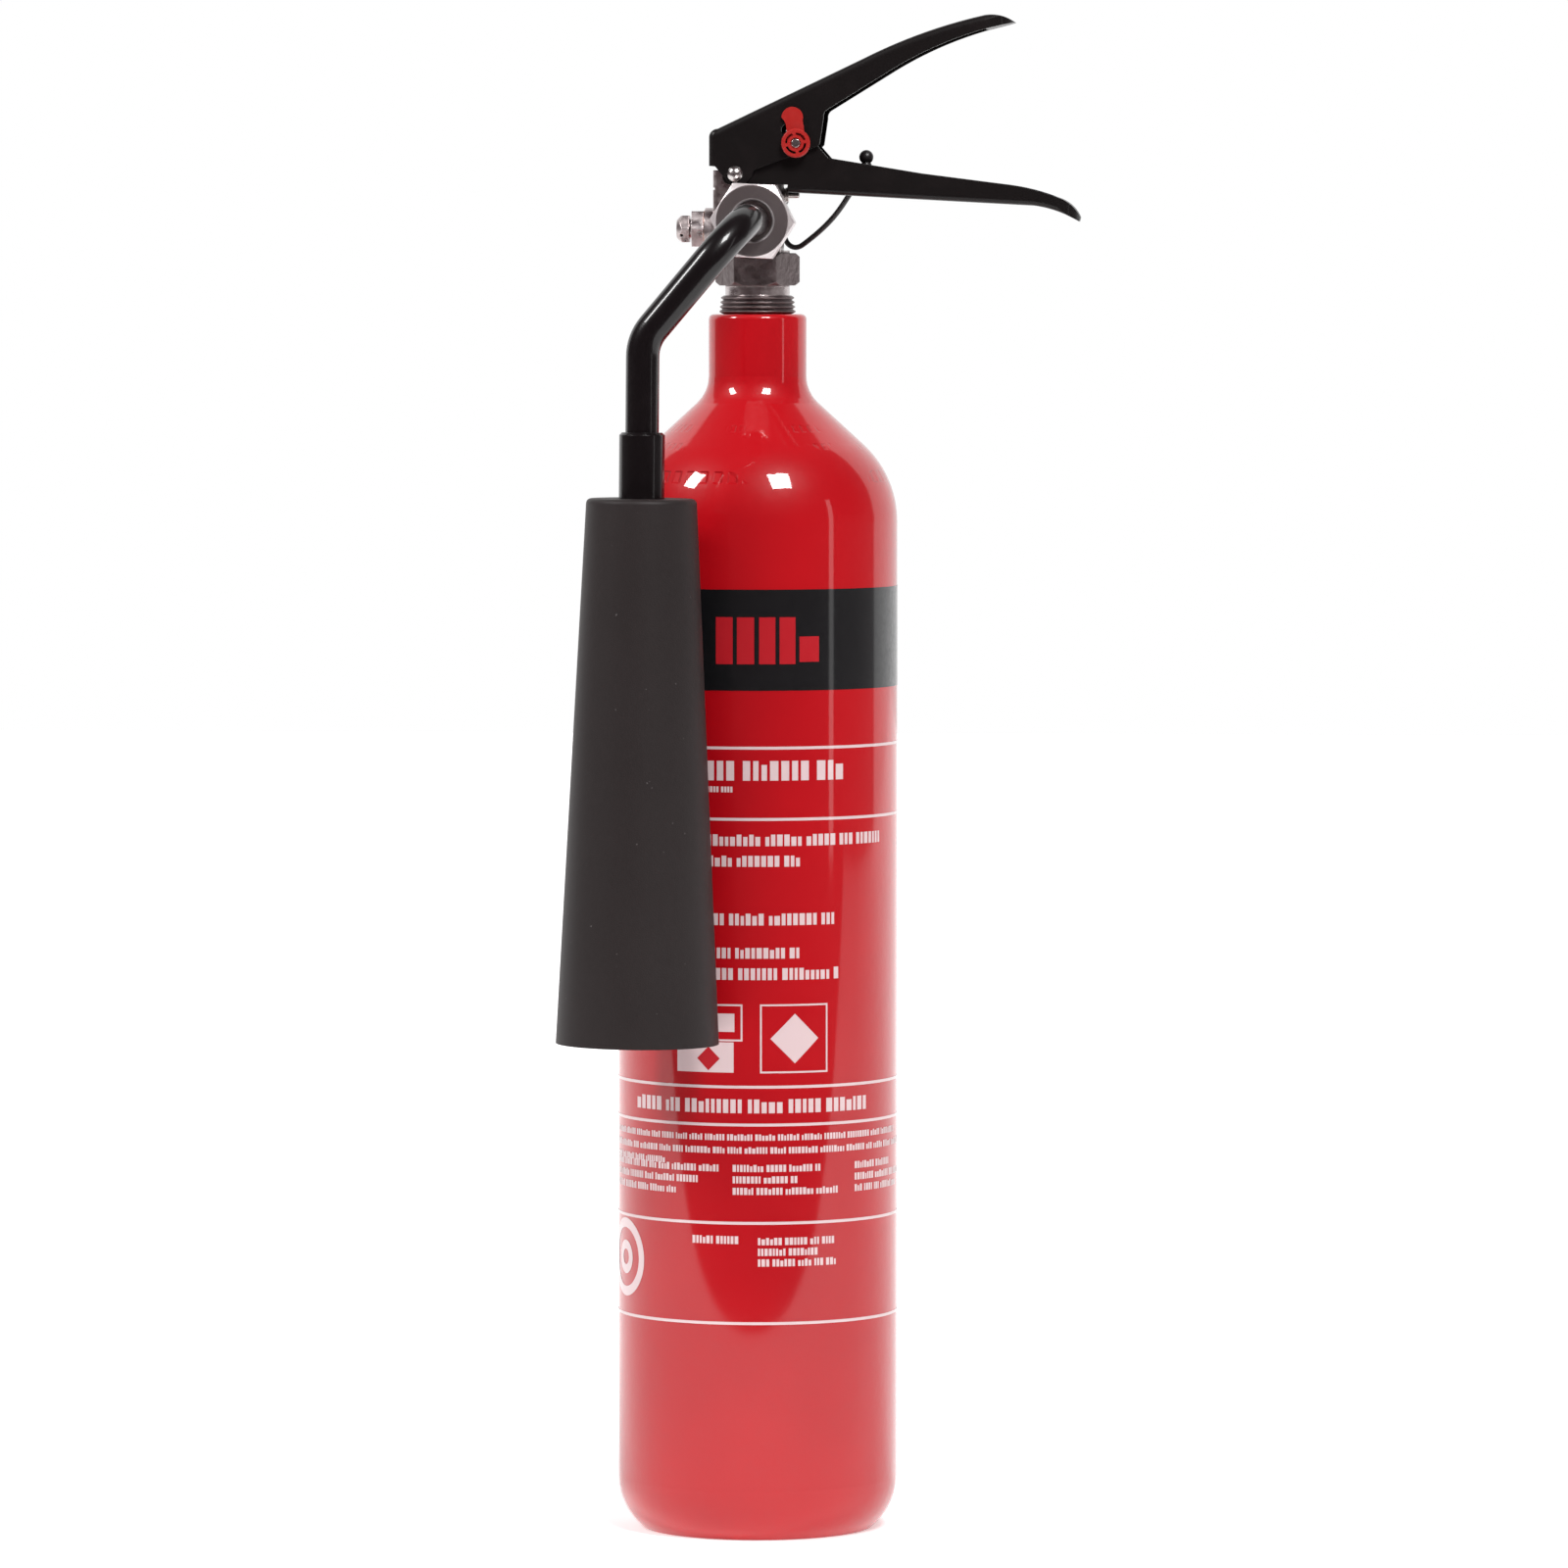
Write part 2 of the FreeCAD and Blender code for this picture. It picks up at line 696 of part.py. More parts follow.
def gland():
    """Gland nut that guides the stem, and the O-ring under it."""
    nut = new_body("gland_nut", **VALVE)
    bore = "stem_radius + running_gap"
    ring_top = "gland_foot_v + 2 * gland_ring_wire"
    revolve(
        nut,
        [
            (bore, ring_top),
            ("gland_radius", ring_top),
            ("gland_radius", "head_top_v"),
            ("gland_nut_radius", "head_top_v"),
            ("gland_nut_radius", "head_top_v + gland_nut_height - 0.8"),
            ("gland_nut_radius - 0.8", "head_top_v + gland_nut_height"),
            (bore, "head_top_v + gland_nut_height"),
        ],
    )
    for way in ("", "-"):
        flat = [
            (f"{way}(gland_nut_radius - 1)", "-gland_nut_radius - 1"),
            (f"{way}(gland_nut_radius + 1)", "-gland_nut_radius - 1"),
            (f"{way}(gland_nut_radius + 1)", "gland_nut_radius + 1"),
            (f"{way}(gland_nut_radius - 1)", "gland_nut_radius + 1"),
        ]
        cut(nut, "XY_Plane", flat, "gland_nut_height + 1", "head_top_v")
    keep(nut)
    ring = doc.addObject("Part::Torus", "stem_o_ring")
    ring.setExpression("Radius1", bound(f"{bore} + gland_ring_wire"))
    ring.setExpression("Radius2", bound("gland_ring_wire"))
    place(ring, z="cyl_height + gland_foot_v + gland_ring_wire")
    keep(ring, "stem_o_ring")


# ---------------------------------------------------------------- outlet
OUTLET = {"z": "cyl_height + outlet_v", "turn": TO_FRONT}


def outlet_nut():
    """Hexagon swivel nut that holds the horn's tail against the outlet."""
    body = new_body("outlet_nut", z=OUTLET["z"], turn=TO_FRONT)
    corner = "nut_flats / 2 / cos(30)"
    flats = []
    for angle in range(0, 360, 60):
        turned = f"({angle} - nut_turn)"
        flats.append((f"{corner} * cos{turned}", f"{corner} * sin{turned}"))
    pad(body, "XY_Plane", flats, "nut_reach - nut_foot", "nut_foot")
    rim = "nut_flats / 2 - 0.5"
    for face, way in (("nut_reach", "-"), ("nut_foot", "+")):
        groove(
            body,
            [
                (rim, face),
                (f"{corner} + 1", face),
                (f"{corner} + 1", f"{face} {way} nut_chamfer * 0.75"),
                (corner, f"{face} {way} nut_chamfer * 0.5"),
            ],
        )
    groove(
        body,
        [
            ("0", "nut_foot - 1"),
            ("outlet_boss_radius", "nut_foot - 1"),
            ("outlet_boss_radius", "nut_reach - nut_lip"),
            ("nut_hole_radius", "nut_reach - nut_lip"),
            ("nut_hole_radius", "nut_reach - 0.7"),
            ("nut_hole_radius + 0.7", "nut_reach"),
            ("nut_hole_radius + 0.7", "nut_reach + 1"),
            ("0", "nut_reach + 1"),
        ],
    )
    keep(body)


def swivel_washer():
    """Nylon thrust washer between the outlet's end and the horn's flange."""
    body = new_body("swivel_washer", z=OUTLET["z"], turn=TO_FRONT)
    hole = "spigot_radius + swivel_gap"
    top = "outlet_reach + swivel_washer"
    foot = "outlet_reach"
    revolve(body, [(hole, foot), ("flange_radius", foot), ("flange_radius", top), (hole, top)])
    keep(body)


def swivel_tail():
    """The horn's flanged tail: a spigot in the outlet, a flange inside the nut and a neck in the tube."""
    body = new_body("swivel_tail", z=OUTLET["z"], turn=TO_FRONT)
    flange_back = "outlet_reach + swivel_washer + swivel_gap"
    flange_front = f"{flange_back} + flange_thickness"
    spigot_end = "outlet_reach - socket_depth + swivel_gap"
    ring_at = "outlet_reach - socket_depth / 2"
    neck = "horn_tube_radius - horn_tube_wall"
    revolve(
        body,
        [
            ("spigot_radius - 2", spigot_end),
            ("spigot_radius", spigot_end),
            ("spigot_radius", f"{ring_at} - 0.7"),
            ("spigot_radius - 1.2", f"{ring_at} - 0.7"),
            ("spigot_radius - 1.2", f"{ring_at} + 0.7"),
            ("spigot_radius", f"{ring_at} + 0.7"),
            ("spigot_radius", flange_back),
            ("flange_radius", flange_back),
            ("flange_radius", flange_front),
            (neck, flange_front),
            (neck, f"{flange_front} + tail_neck"),
            ("spigot_radius - 2", f"{flange_front} + tail_neck"),
        ],
    )
    keep(body)
    ring = doc.addObject("Part::Torus", "swivel_o_ring")
    ring.setExpression("Radius1", bound("spigot_radius - 0.6"))
    ring.Radius2 = 0.6
    place(ring, y=f"-({ring_at})", z=OUTLET["z"], turn=TO_FRONT)
    keep(ring, "swivel_o_ring")


# ---------------------------------------------------------------- bursting disc
def burst_disc_set():
    """Pressure relief on the left port: washer, holder, domed foil disc and vented cap."""
    where = {"x": "-block_left - port_boss_length", "z": "cyl_height + port_v", "turn": TO_LEFT}
    washer = new_body("burst_washer", **where)
    rim = "port_thread_radius + 2.2"
    revolve(
        washer,
        [
            ("port_thread_radius", "0"),
            (rim, "0"),
            (rim, "washer_thickness"),
            ("port_thread_radius", "washer_thickness"),
        ],
    )
    keep(washer)

    holder = new_body("burst_holder", **where)
    hex_top = "washer_thickness + holder_length"
    neck_top = f"{hex_top} + disc_neck_length"
    stub_top = f"{neck_top} + disc_stub_length - disc_neck_length"
    pad(holder, "XY_Plane", hexagon("holder_flats", 30), "holder_length", "washer_thickness")
    shank = ("0", "0", "port_thread_radius")
    pad(holder, "XY_Plane", shank, "port_depth - 1 + washer_thickness", "1 - port_depth")
    pad(holder, "XY_Plane", ("0", "0", "disc_neck_radius"), "disc_neck_length", hex_top)
    stub_length = "disc_stub_length - disc_neck_length"
    pad(holder, "XY_Plane", ("0", "0", "disc_stub_radius"), stub_length, neck_top)
    cut(holder, "XY_Plane", ("0", "0", "holder_bore"), f"{stub_top} + port_depth", "-port_depth")
    keep(holder)

    disc = new_body("burst_disc", **where)
    revolve(
        disc,
        [
            ("0", f"{stub_top} + 0.6"),
            ("holder_bore", stub_top),
            ("disc_stub_radius", stub_top),
            ("disc_stub_radius", f"{stub_top} + disc_thickness"),
            ("holder_bore", f"{stub_top} + disc_thickness"),
            ("0", f"{stub_top} + disc_thickness + 0.6"),
        ],
    )
    keep(disc)

    cap = new_body("burst_cap", **where)
    cap_top = f"{neck_top} + cap_length"
    pad(cap, "XY_Plane", hexagon("cap_flats", 30), "cap_length", neck_top)
    corner = "cap_flats / 2 / cos(30)"
    groove(
        cap,
        [
            ("cap_flats / 2 - 1.6", cap_top),
            (f"{corner} + 1", cap_top),
            (f"{corner} + 1", f"{cap_top} - 2.2"),
            (corner, f"{cap_top} - 2.2"),
        ],
    )
    seat = f"{stub_top} + disc_thickness"
    cavity_top = f"{cap_top} - cap_end"
    groove(
        cap,
        [
            ("0", f"{neck_top} - 1"),
            ("disc_stub_radius", f"{neck_top} - 1"),
            ("disc_stub_radius", seat),
            ("holder_bore", seat),
            ("holder_bore", cavity_top),
            ("0", cavity_top),
        ],
    )
    vent_at = f"({seat} + {cavity_top}) / 2"
    for angle in (90, 210, 330):
        sketch = new_sketch(cap, "XZ_Plane", "0")
        sketch.AttachmentOffset = FreeCAD.Placement(V(0, 0, 0), FreeCAD.Rotation(V(0, 1, 0), angle))
        draw_circle(sketch, "0", vent_at, "vent_radius")
        doc.recompute()
        before = cap.Shape.Volume
        vent = cap.newObject("PartDesign::Pocket", "Vent")
        vent.Profile = sketch
        vent.Reversed = True
        vent.Length = value("cap_flats")
        doc.recompute()
        if not vent.Shape.Volume < before - 0.01:
            raise RuntimeError("burst_cap: a vent cuts nothing")
    keep(cap)


# ---------------------------------------------------------------- handles
def carry_handle():
    """Lower, fixed handle: a pressed steel channel, open upwards, whose cheeks clasp the valve."""
    body = new_body("carry_handle", **VALVE)
    start = "handle_web_start"
    web = "handle_web_v"
    half = "handle_width / 2"
    tip = "handle_reach"
    web_line = [
        (start, web),
        (f"{tip} - 18", f"{web} - handle_fall"),
        (f"{tip} - 0.5", f"{web} - handle_tip_fall", "44", -1),
    ]
    outline = [
        ("pivot_x - cheek_back", "pivot_v + 3.1"),
        ("pivot_x - cheek_back", "pivot_v - 1.2"),
        ("pivot_x + 2.7 - cheek_back", "pivot_v - cheek_drop", "2.7", 1),
        (start, "pivot_v - cheek_drop"),
        *web_line,
        (tip, f"{web} + 1.6 - handle_tip_fall"),
        (f"{tip} - 8.5", f"{web} - 2", "14", 1),
        (f"{tip} - 29.5", f"{web} + 3.2", "77", 1),
        ("handle_web_start + 51.7", f"{web} + 7.2"),
        ("handle_web_start + 15.5", f"{web} + 13.2"),
        ("pin_x + 8.3", "pin_v - 1.2"),
        ("pin_x + 7.3", "pin_v + 2.3"),
        ("pin_x + 4.1", "pin_v + 5.8", "4.5", 1),
        ("pin_x - 9.4", "pin_v + 3.8"),
    ]
    pad(body, "XZ_Plane", outline, "handle_width", f"-({half})")
    round_along(body, "handle_edge", web_line, half)
    hollow = [
        ("-block_left - 3", "pivot_v - 6"),
        (start, "pivot_v - 6"),
        (start, f"{web} + gauge"),
        (f"{tip} - 18", f"{web} - handle_fall + gauge"),
        (f"{tip} - handle_plan_round", f"{web} - handle_fall - 1.5 + gauge"),
        (f"{tip} - handle_plan_round", f"{web} + 30"),
        ("-block_left - 3", f"{web} + 30"),
    ]
    cut(body, "XZ_Plane", hollow, "handle_width - 2 * gauge", f"gauge - {half}")
    for side in ("", "-"):
        turn = -1 if side == "" else 1
        corner = [
            (f"{tip} - handle_plan_round", f"{side}({half})"),
            (tip, f"{side}({half} - handle_plan_round)", "handle_plan_round", turn),
            (f"{tip} + 3", f"{side}({half} - handle_plan_round)"),
            (f"{tip} + 3", f"{side}({half} + 3)"),
            (f"{tip} - handle_plan_round", f"{side}({half} + 3)"),
        ]
        cut(body, "XY_Plane", corner, "pin_v", "20")
    cut(body, "XZ_Plane", ("pivot_x", "pivot_v", "pivot_radius"), "handle_width + 2", f"-({half}) - 1")
    pin = ("pin_x", "pin_v", "pin_radius + running_gap")
    cut(body, "XZ_Plane", pin, "handle_width + 2", f"-({half}) - 1")
    cut(body, "XY_Plane", ("35.7", "0.7", "tether_hole"), "8", f"{web} - 5")
    keep(body)


def squeeze_lever():
    """Upper lever: a pressed steel channel, open downwards, whose cheeks lap over the handle's."""
    body = new_body("squeeze_lever", **VALVE)
    width = "(handle_width + 2 * lever_gap + 2 * gauge)"
    half = f"{width} / 2"
    back = "-lever_back"
    tip = "lever_reach"
    top_line = [
        (tip, "pin_v + lever_tip_rise - 2.6"),
        (f"{tip} - 11.5", "pin_v + lever_tip_rise", "15", 1),
        (f"{tip} - lever_bow_run", "pin_v + lever_bow_rise", "lever_bow_radius", 1),
        (f"{back} + 3.3", "pivot_v + 17.4"),
        (back, "pivot_v + 14.4", "3.4", 1),
    ]
    outline = [
        (back, "pivot_v + 3.1"),
        ("pivot_x - 7.9", "pivot_v + 3.1"),
        ("pivot_x - 2", "pivot_v - 4"),
        ("pivot_x + 1.5", "pivot_v - 4"),
        ("pivot_x + 7.1", "pivot_v + 1.5", "6", 1),
        ("pin_x + 8.2", "pin_v - 1.2"),
        ("pin_x + 9", "pin_v - 0.4"),
        ("pin_x + 10.5", "pin_v + 9.8"),
        ("pin_x + 11.6", "pin_v + 12.7", "3.2", -1),
        (f"{tip} - 49.5", "pin_v + 26.6"),
        (f"{tip} - 12.5", "pin_v + 43.4", "144", -1),
        *top_line,
    ]
    pad(body, "XZ_Plane", outline, width, f"-{half}")
    round_along(body, "lever_edge", top_line + outline[:1], half)
    hollow = [
        (f"{back} + gauge", "pivot_v - 8"),
        ("pin_x + 14", "pivot_v - 8"),
        ("pin_x + 14", "pin_v + 9"),
        (f"{tip} - 49.5", "pin_v + 22.3"),
        (f"{tip} - lever_plan_round", "pin_v + 40"),
        (f"{tip} - lever_plan_round", "pin_v + lever_tip_rise - gauge"),
        (f"{tip} - lever_bow_run", "pin_v + lever_bow_rise - gauge * 1.1", "lever_bow_radius", 1),
        (f"{back} + 3.3", "pivot_v + 17.4 - gauge * 1.1"),
        (f"{back} + gauge", "pivot_v + 14.4 - gauge"),
    ]
    cut(body, "XZ_Plane", hollow, f"{width} - 2 * gauge", f"gauge - {half}")
    for side in ("", "-"):
        turn = -1 if side == "" else 1
        corner = [
            (f"{tip} - lever_plan_round", f"{side}({half})"),
            (tip, f"{side}({half} - lever_plan_round)", "lever_plan_round", turn),
            (f"{tip} + 3", f"{side}({half} - lever_plan_round)"),
            (f"{tip} + 3", f"{side}({half} + 3)"),
            (f"{tip} - lever_plan_round", f"{side}({half} + 3)"),
        ]
        cut(body, "XY_Plane", corner, "pin_v", "pin_v")
    pivot = ("pivot_x", "pivot_v", "pivot_radius + running_gap")
    cut(body, "XZ_Plane", pivot, f"{width} + 2", f"-{half} - 1")
    # The pin's holes are slots, so that the lever can be squeezed with the pin still in place.
    slot = "(pin_radius + slot_gap)"
    length = "sqrt(slot_left ^ 2 + slot_rise ^ 2)"
    across, up = f"{slot} * slot_rise / {length}", f"{slot} * slot_left / {length}"
    track = [
        (f"pin_x + {across}", f"pin_v + {up}", slot, 1),
        (f"pin_x - slot_left + {across}", f"pin_v + slot_rise + {up}"),
        (f"pin_x - slot_left - {up}", f"pin_v + slot_rise + {across}", slot, 1),
        (f"pin_x - slot_left - {across}", f"pin_v + slot_rise - {up}", slot, 1),
        (f"pin_x - {across}", f"pin_v - {up}"),
        (f"pin_x + {up}", f"pin_v - {across}", slot, 1),
    ]
    cut(body, "XZ_Plane", track, f"{width} + 2", f"-{half} - 1")
    keep(body)


def pivot_rivet():
    """Rivet through the valve body, the handle's cheeks and the lever's cheeks, domed at both ends."""
    body = new_body("pivot_rivet", x="pivot_x", z="cyl_height + pivot_v", turn=TO_FRONT)
    seat = "(handle_width / 2 + lever_gap + gauge + rivet_head_gap)"
    top = f"{seat} + rivet_head_height"
    dome = "(rivet_head_radius ^ 2 + rivet_head_height ^ 2) / (2 * rivet_head_height)"
    revolve(
        body,
        [
            ("0", f"-{seat} - rivet_head_height"),
            ("rivet_head_radius", f"-{seat}", dome, 1),
            ("pivot_radius", f"-{seat}"),
            ("pivot_radius", seat),
            ("rivet_head_radius", seat),
            ("0", top, dome, 1),
        ],
    )
    keep(body)


def handle_screw():
    """Screw in the block's right side, whose plain end carries the handle's web."""
    height = "cyl_height + handle_web_v - screw_drop"
    body = new_body("handle_screw", x="gallery_radius", z=height, turn=TO_RIGHT)
    face = "block_right - gallery_radius"
    end = "handle_web_start - gallery_radius - 0.2"
    crest = f"({end} - ({face})) / 3"
    outline = [("0", "0"), ("screw_radius", "0"), ("screw_radius", face)]
    for turn in range(3):
        foot = f"{face} + {crest} * {turn}"
        outline.append(("screw_radius - 0.5", f"{foot} + {crest} * 0.15"))
        outline.append(("screw_radius", f"{foot} + {crest} * 0.5"))
        outline.append(("screw_radius", f"{foot} + {crest} * 0.65"))
    outline += [
        ("screw_tip_radius", end),
        ("screw_tip_radius", "screw_tip_reach - gallery_radius - 0.4"),
        ("screw_tip_radius - 0.4", "screw_tip_reach - gallery_radius"),
        ("0", "screw_tip_reach - gallery_radius"),
    ]
    revolve(body, outline)
    keep(body)


# ---------------------------------------------------------------- safety pin
PIN = {"x": "pin_x", "z": "cyl_height + pin_v"}


def safety_pin():
    """Steel pin across both handles, with an eye on the far side."""
    body = new_body("safety_pin", turn=TO_FRONT, **PIN)
    revolve(
        body,
        [
            ("0", "-eye_y + 1"),
            ("pin_radius", "-eye_y + 1"),
            ("pin_radius", "pin_front - 0.5"),
            ("pin_radius - 0.5", "pin_front"),
            ("0", "pin_front"),
        ],
    )
    pad(body, "YZ_Plane", ("0", "-eye_y", "eye_radius"), "eye_thickness", "-eye_thickness / 2")
    cut(body, "YZ_Plane", ("0", "-eye_y", "eye_hole"), "eye_thickness + 2", "-eye_thickness / 2 - 1")
    keep(body)


def pull_ring():
    """Ring that hangs in the pin's eye."""
    ring = doc.addObject("Part::Torus", "pull_ring")
    ring.setExpression("Radius1", bound("pull_ring_radius"))
    ring.setExpression("Radius2", bound("pull_ring_wire"))
    place(ring, x="pin_x", y="eye_y", z="cyl_height + pin_v - pull_ring_radius", turn=TO_BACK)
    keep(ring, "pull_ring")


def tamper_seal():
    """Plastic seal on the pin's front end: a paddle tag, and a break-off ring with four arc slots."""
    hole = "pin_radius + running_gap"
    tag_back = "(handle_width / 2 + lever_gap + gauge + tag_gap)"
    tag = new_body("tamper_tag", turn=TO_FRONT, **PIN)
    neck, head = "tag_neck", "tag_head_radius"
    paddle = [
        (f"-({neck})", "0"),
        ("0", f"-({neck})", neck, 1),
        (neck, "0", neck, 1),
        (f"{neck} - 0.3", "tag_rise - 3.2"),
        (f"{head} - tag_lean", "tag_rise", "5", -1),
        ("-tag_lean", f"tag_rise + {head}", head, 1),
        (f"-({head}) - tag_lean", "tag_rise", head, 1),
        (f"-({neck}) - 0.4", "tag_rise - 3.4", "5", -1),
    ]
    pad(tag, "XY_Plane", paddle, "tag_thickness", tag_back)
    cut(tag, "XY_Plane", ("0", "0", hole), "tag_thickness + 2", f"{tag_back} - 1")
    keep(tag)

    ring = new_body("tamper_ring", turn=TO_FRONT, **PIN)
    foot = f"{tag_back} + tag_thickness"
    face = f"{foot} + seal_ring_thickness"
    revolve(
        ring,
        [
            (hole, foot),
            ("seal_ring_radius", foot),
            ("seal_ring_radius", f"{face} - 0.4"),
            ("seal_ring_radius - 0.4", face),
            (hole, face),
        ],
    )
    inner = "(seal_slot_radius - seal_slot_width / 2)"
    outer = "(seal_slot_radius + seal_slot_width / 2)"
    for start in (20, 110, 200, 290):
        end = start + 70
        slot = [
            (f"{inner} * cos({start})", f"{inner} * sin({start})"),
            (f"{outer} * cos({start})", f"{outer} * sin({start})"),
            (f"{outer} * cos({end})", f"{outer} * sin({end})", outer, 1),
            (f"{inner} * cos({end})", f"{inner} * sin({end})"),
        ]
        slot[0] = slot[0] + (inner, -1)
        cut(ring, "XY_Plane", slot, "seal_ring_thickness + 2", f"{foot} - 1")
    keep(ring)


# ---------------------------------------------------------------- tether
# Route of the tether from its ball to the eyelet: x, y and height above the neck's top.
TETHER_ROUTE = [
    (42.0, 0.0, 56.4),
    (42.0, 0.0, 53.4),
    (40.6, 0.1, 51.0),
    (37.6, 0.4, 48.8),
    (34.9, 0.9, 45.2),
    (32.4, 2.2, 41.4),
    (28.9, 4.4, 37.0),
    (24.2, 7.0, 32.4),
    (19.4, 10.0, 28.6),
    (14.4, 12.8, 25.0),
    (10.0, 15.0, 27.0),
    (8.6, 16.4, 33.2),
    (8.6, 17.0, 39.6),
    (10.2, 17.2, 46.0),
    (12.6, 17.1, 52.0),
    (15.0, 17.0, 56.8),
    (15.9, 17.0, 59.2),
    (15.9, 17.0, 61.5),
]


def rounded_path(points, radii):
    """A wire of straight runs and tangent arcs; each inner point has its own arc radius."""
    edges = []
    start = points[0]
    for index in range(1, len(points) - 1):
        before, here, after = points[index - 1 : index + 2]
        arrive = (here - before).normalize()
        leave = (after - here).normalize()
        turn = arrive.getAngle(leave)
        reach = radii[index - 1] * math.tan(turn / 2)
        first, last = here - arrive * reach, here + leave * reach
        inward = (leave - arrive).normalize()
        middle = here + inward * (radii[index - 1] / math.cos(turn / 2) - radii[index - 1])
        edges.append(Part.LineSegment(start, first).toShape())
        edges.append(Part.Arc(first, middle, last).toShape())
        start = last
    edges.append(Part.LineSegment(start, points[-1]).toShape())
    return Part.Wire(edges)


def pipe(path, radius):
    """A solid round rod along a wire, checked against its section times its length."""
    edge = path.Edges[0]
    start = edge.FirstParameter
    profile = Part.Wire(Part.makeCircle(radius, edge.valueAt(start), edge.tangentAt(start)))
    rod = path.makePipeShell([profile], True, True)
    expected = math.pi * radius**2 * path.Length
    if abs(rod.Volume - expected) > 0.01 * expected:
        raise RuntimeError("a pipe's volume doesn't match its length")
    return rod


def tether():
    """Plastic strap from a ball in the handle's channel to the eyelet on the safety pin."""
    points = [V(*point) for point in TETHER_ROUTE]
    radii = []
    for before, here, after in zip(points, points[1:], points[2:]):
        half_turn = (here - before).getAngle(after - here) / 2
        shorter = min((here - before).Length, (after - here).Length)
        radii.append(0.45 * shorter / math.tan(half_turn))
    print("tether arc radii:", [round(radius, 1) for radius in radii])
    path = rounded_path(points, radii)
    print("tether length:", round(path.Length, 1))
    solid("tether", pipe(path, value("tether_radius")), **VALVE)

    ball = new_body("tether_ball", x=str(TETHER_ROUTE[0][0]), z=f"cyl_height + {TETHER_ROUTE[0][2]}")
    revolve(
        ball,
        [
            ("0", "0"),
            ("ball_skirt_radius - 0.4", "0"),
            ("ball_skirt_radius", "0.6"),
            ("ball_radius * cos(50)", "1.2 + ball_radius - ball_radius * sin(50)", "3", -1),
            ("0", "1.2 + 2 * ball_radius", "ball_radius", 1),
        ],
    )
    keep(ball)

    eyelet = new_body("tether_eyelet", y="eyelet_y", turn=TO_FRONT, **PIN)
    revolve(
        eyelet,
        [
            ("pin_radius", "-tether_radius"),
            ("eyelet_radius - 0.5", "-tether_radius"),
            ("eyelet_radius", "0.5 - tether_radius"),
            ("eyelet_radius", "tether_radius - 0.5"),
            ("eyelet_radius - 0.5", "tether_radius"),
            ("pin_radius", "tether_radius"),
        ],
    )
    keep(eyelet)


# ---------------------------------------------------------------- horn
# Across and down from the outlet's axis, in the plane that the horn swings in.
ELBOW_X = "tube_run * sin(tube_slope)"
ELBOW_DROP = "tube_run * cos(tube_slope)"
MOUTH_X = f"({ELBOW_X} + (horn_drop + horn_length) * sin(horn_lean))"
HORN_REACH = f"sqrt((cyl_radius + horn_mouth_radius + horn_gap) ^ 2 - {MOUTH_X} ^ 2)"


def horn_place(distance):
    """Placement of a piece on the horn's axis, a distance below the elbow, +Z along the axis, upwards."""
    return {
        "x": f"-({ELBOW_X}) - ({distance}) * sin(horn_lean)",
        "y": f"-{HORN_REACH}",
        "z": f"cyl_height + outlet_v - {ELBOW_DROP} - ({distance}) * cos(horn_lean)",
        "turn": ((0, 1, 0), SIZES["horn_lean"]),
    }


def horn_tube():
    """Bent steel tube: out of the outlet, down beside the cylinder, then into the ferrule."""
    start = value("outlet_reach + swivel_washer + swivel_gap + flange_thickness")
    level = value("cyl_height + outlet_v")
    reach = value(HORN_REACH)
    lean = math.radians(value("horn_lean"))
    elbow = V(-value(ELBOW_X), -reach, level - value(ELBOW_DROP))
    grip = value("horn_drop - ferrule_length + ferrule_grip")
    points = [
        V(0, -start, level),
        V(0, -reach, level),
        elbow,
        elbow - V(math.sin(lean), 0, math.cos(lean)) * grip,
    ]
    path = rounded_path(points, [value("tube_bend"), value("elbow_bend")])
    outer = pipe(path, value("horn_tube_radius"))
    bore = pipe(path, value("horn_tube_radius - horn_tube_wall"))
    solid("horn_tube", outer.cut(bore))


def horn_ferrule():
    """Collar between tube and horn, its threaded spigot through the horn's roof."""
    body = new_body("horn_ferrule", **horn_place("horn_drop"))
    top = "ferrule_length"
    grip = "ferrule_length - ferrule_grip"
    pocket = f"{grip} - orifice_thickness"
    revolve(
        body,
        [
            ("3", "-ferrule_spigot_length"),
            ("ferrule_spigot_radius - 0.6", "-ferrule_spigot_length"),
            ("ferrule_spigot_radius", "0.6 - ferrule_spigot_length"),
            ("ferrule_spigot_radius", "0"),
            ("ferrule_radius", "0"),
            ("ferrule_radius", f"{top} - 1"),
            ("ferrule_radius - 1", top),
            ("horn_tube_radius", top),
            ("horn_tube_radius", pocket),
            ("3", pocket),
        ],
    )
    keep(body)
    orifice = new_body("gas_orifice", **horn_place("horn_drop"))
    revolve(
        orifice,
        [
            ("orifice_radius", pocket),
            ("horn_tube_radius", pocket),
            ("horn_tube_radius", grip),
            ("orifice_radius", grip),
        ],
    )
    keep(orifice)


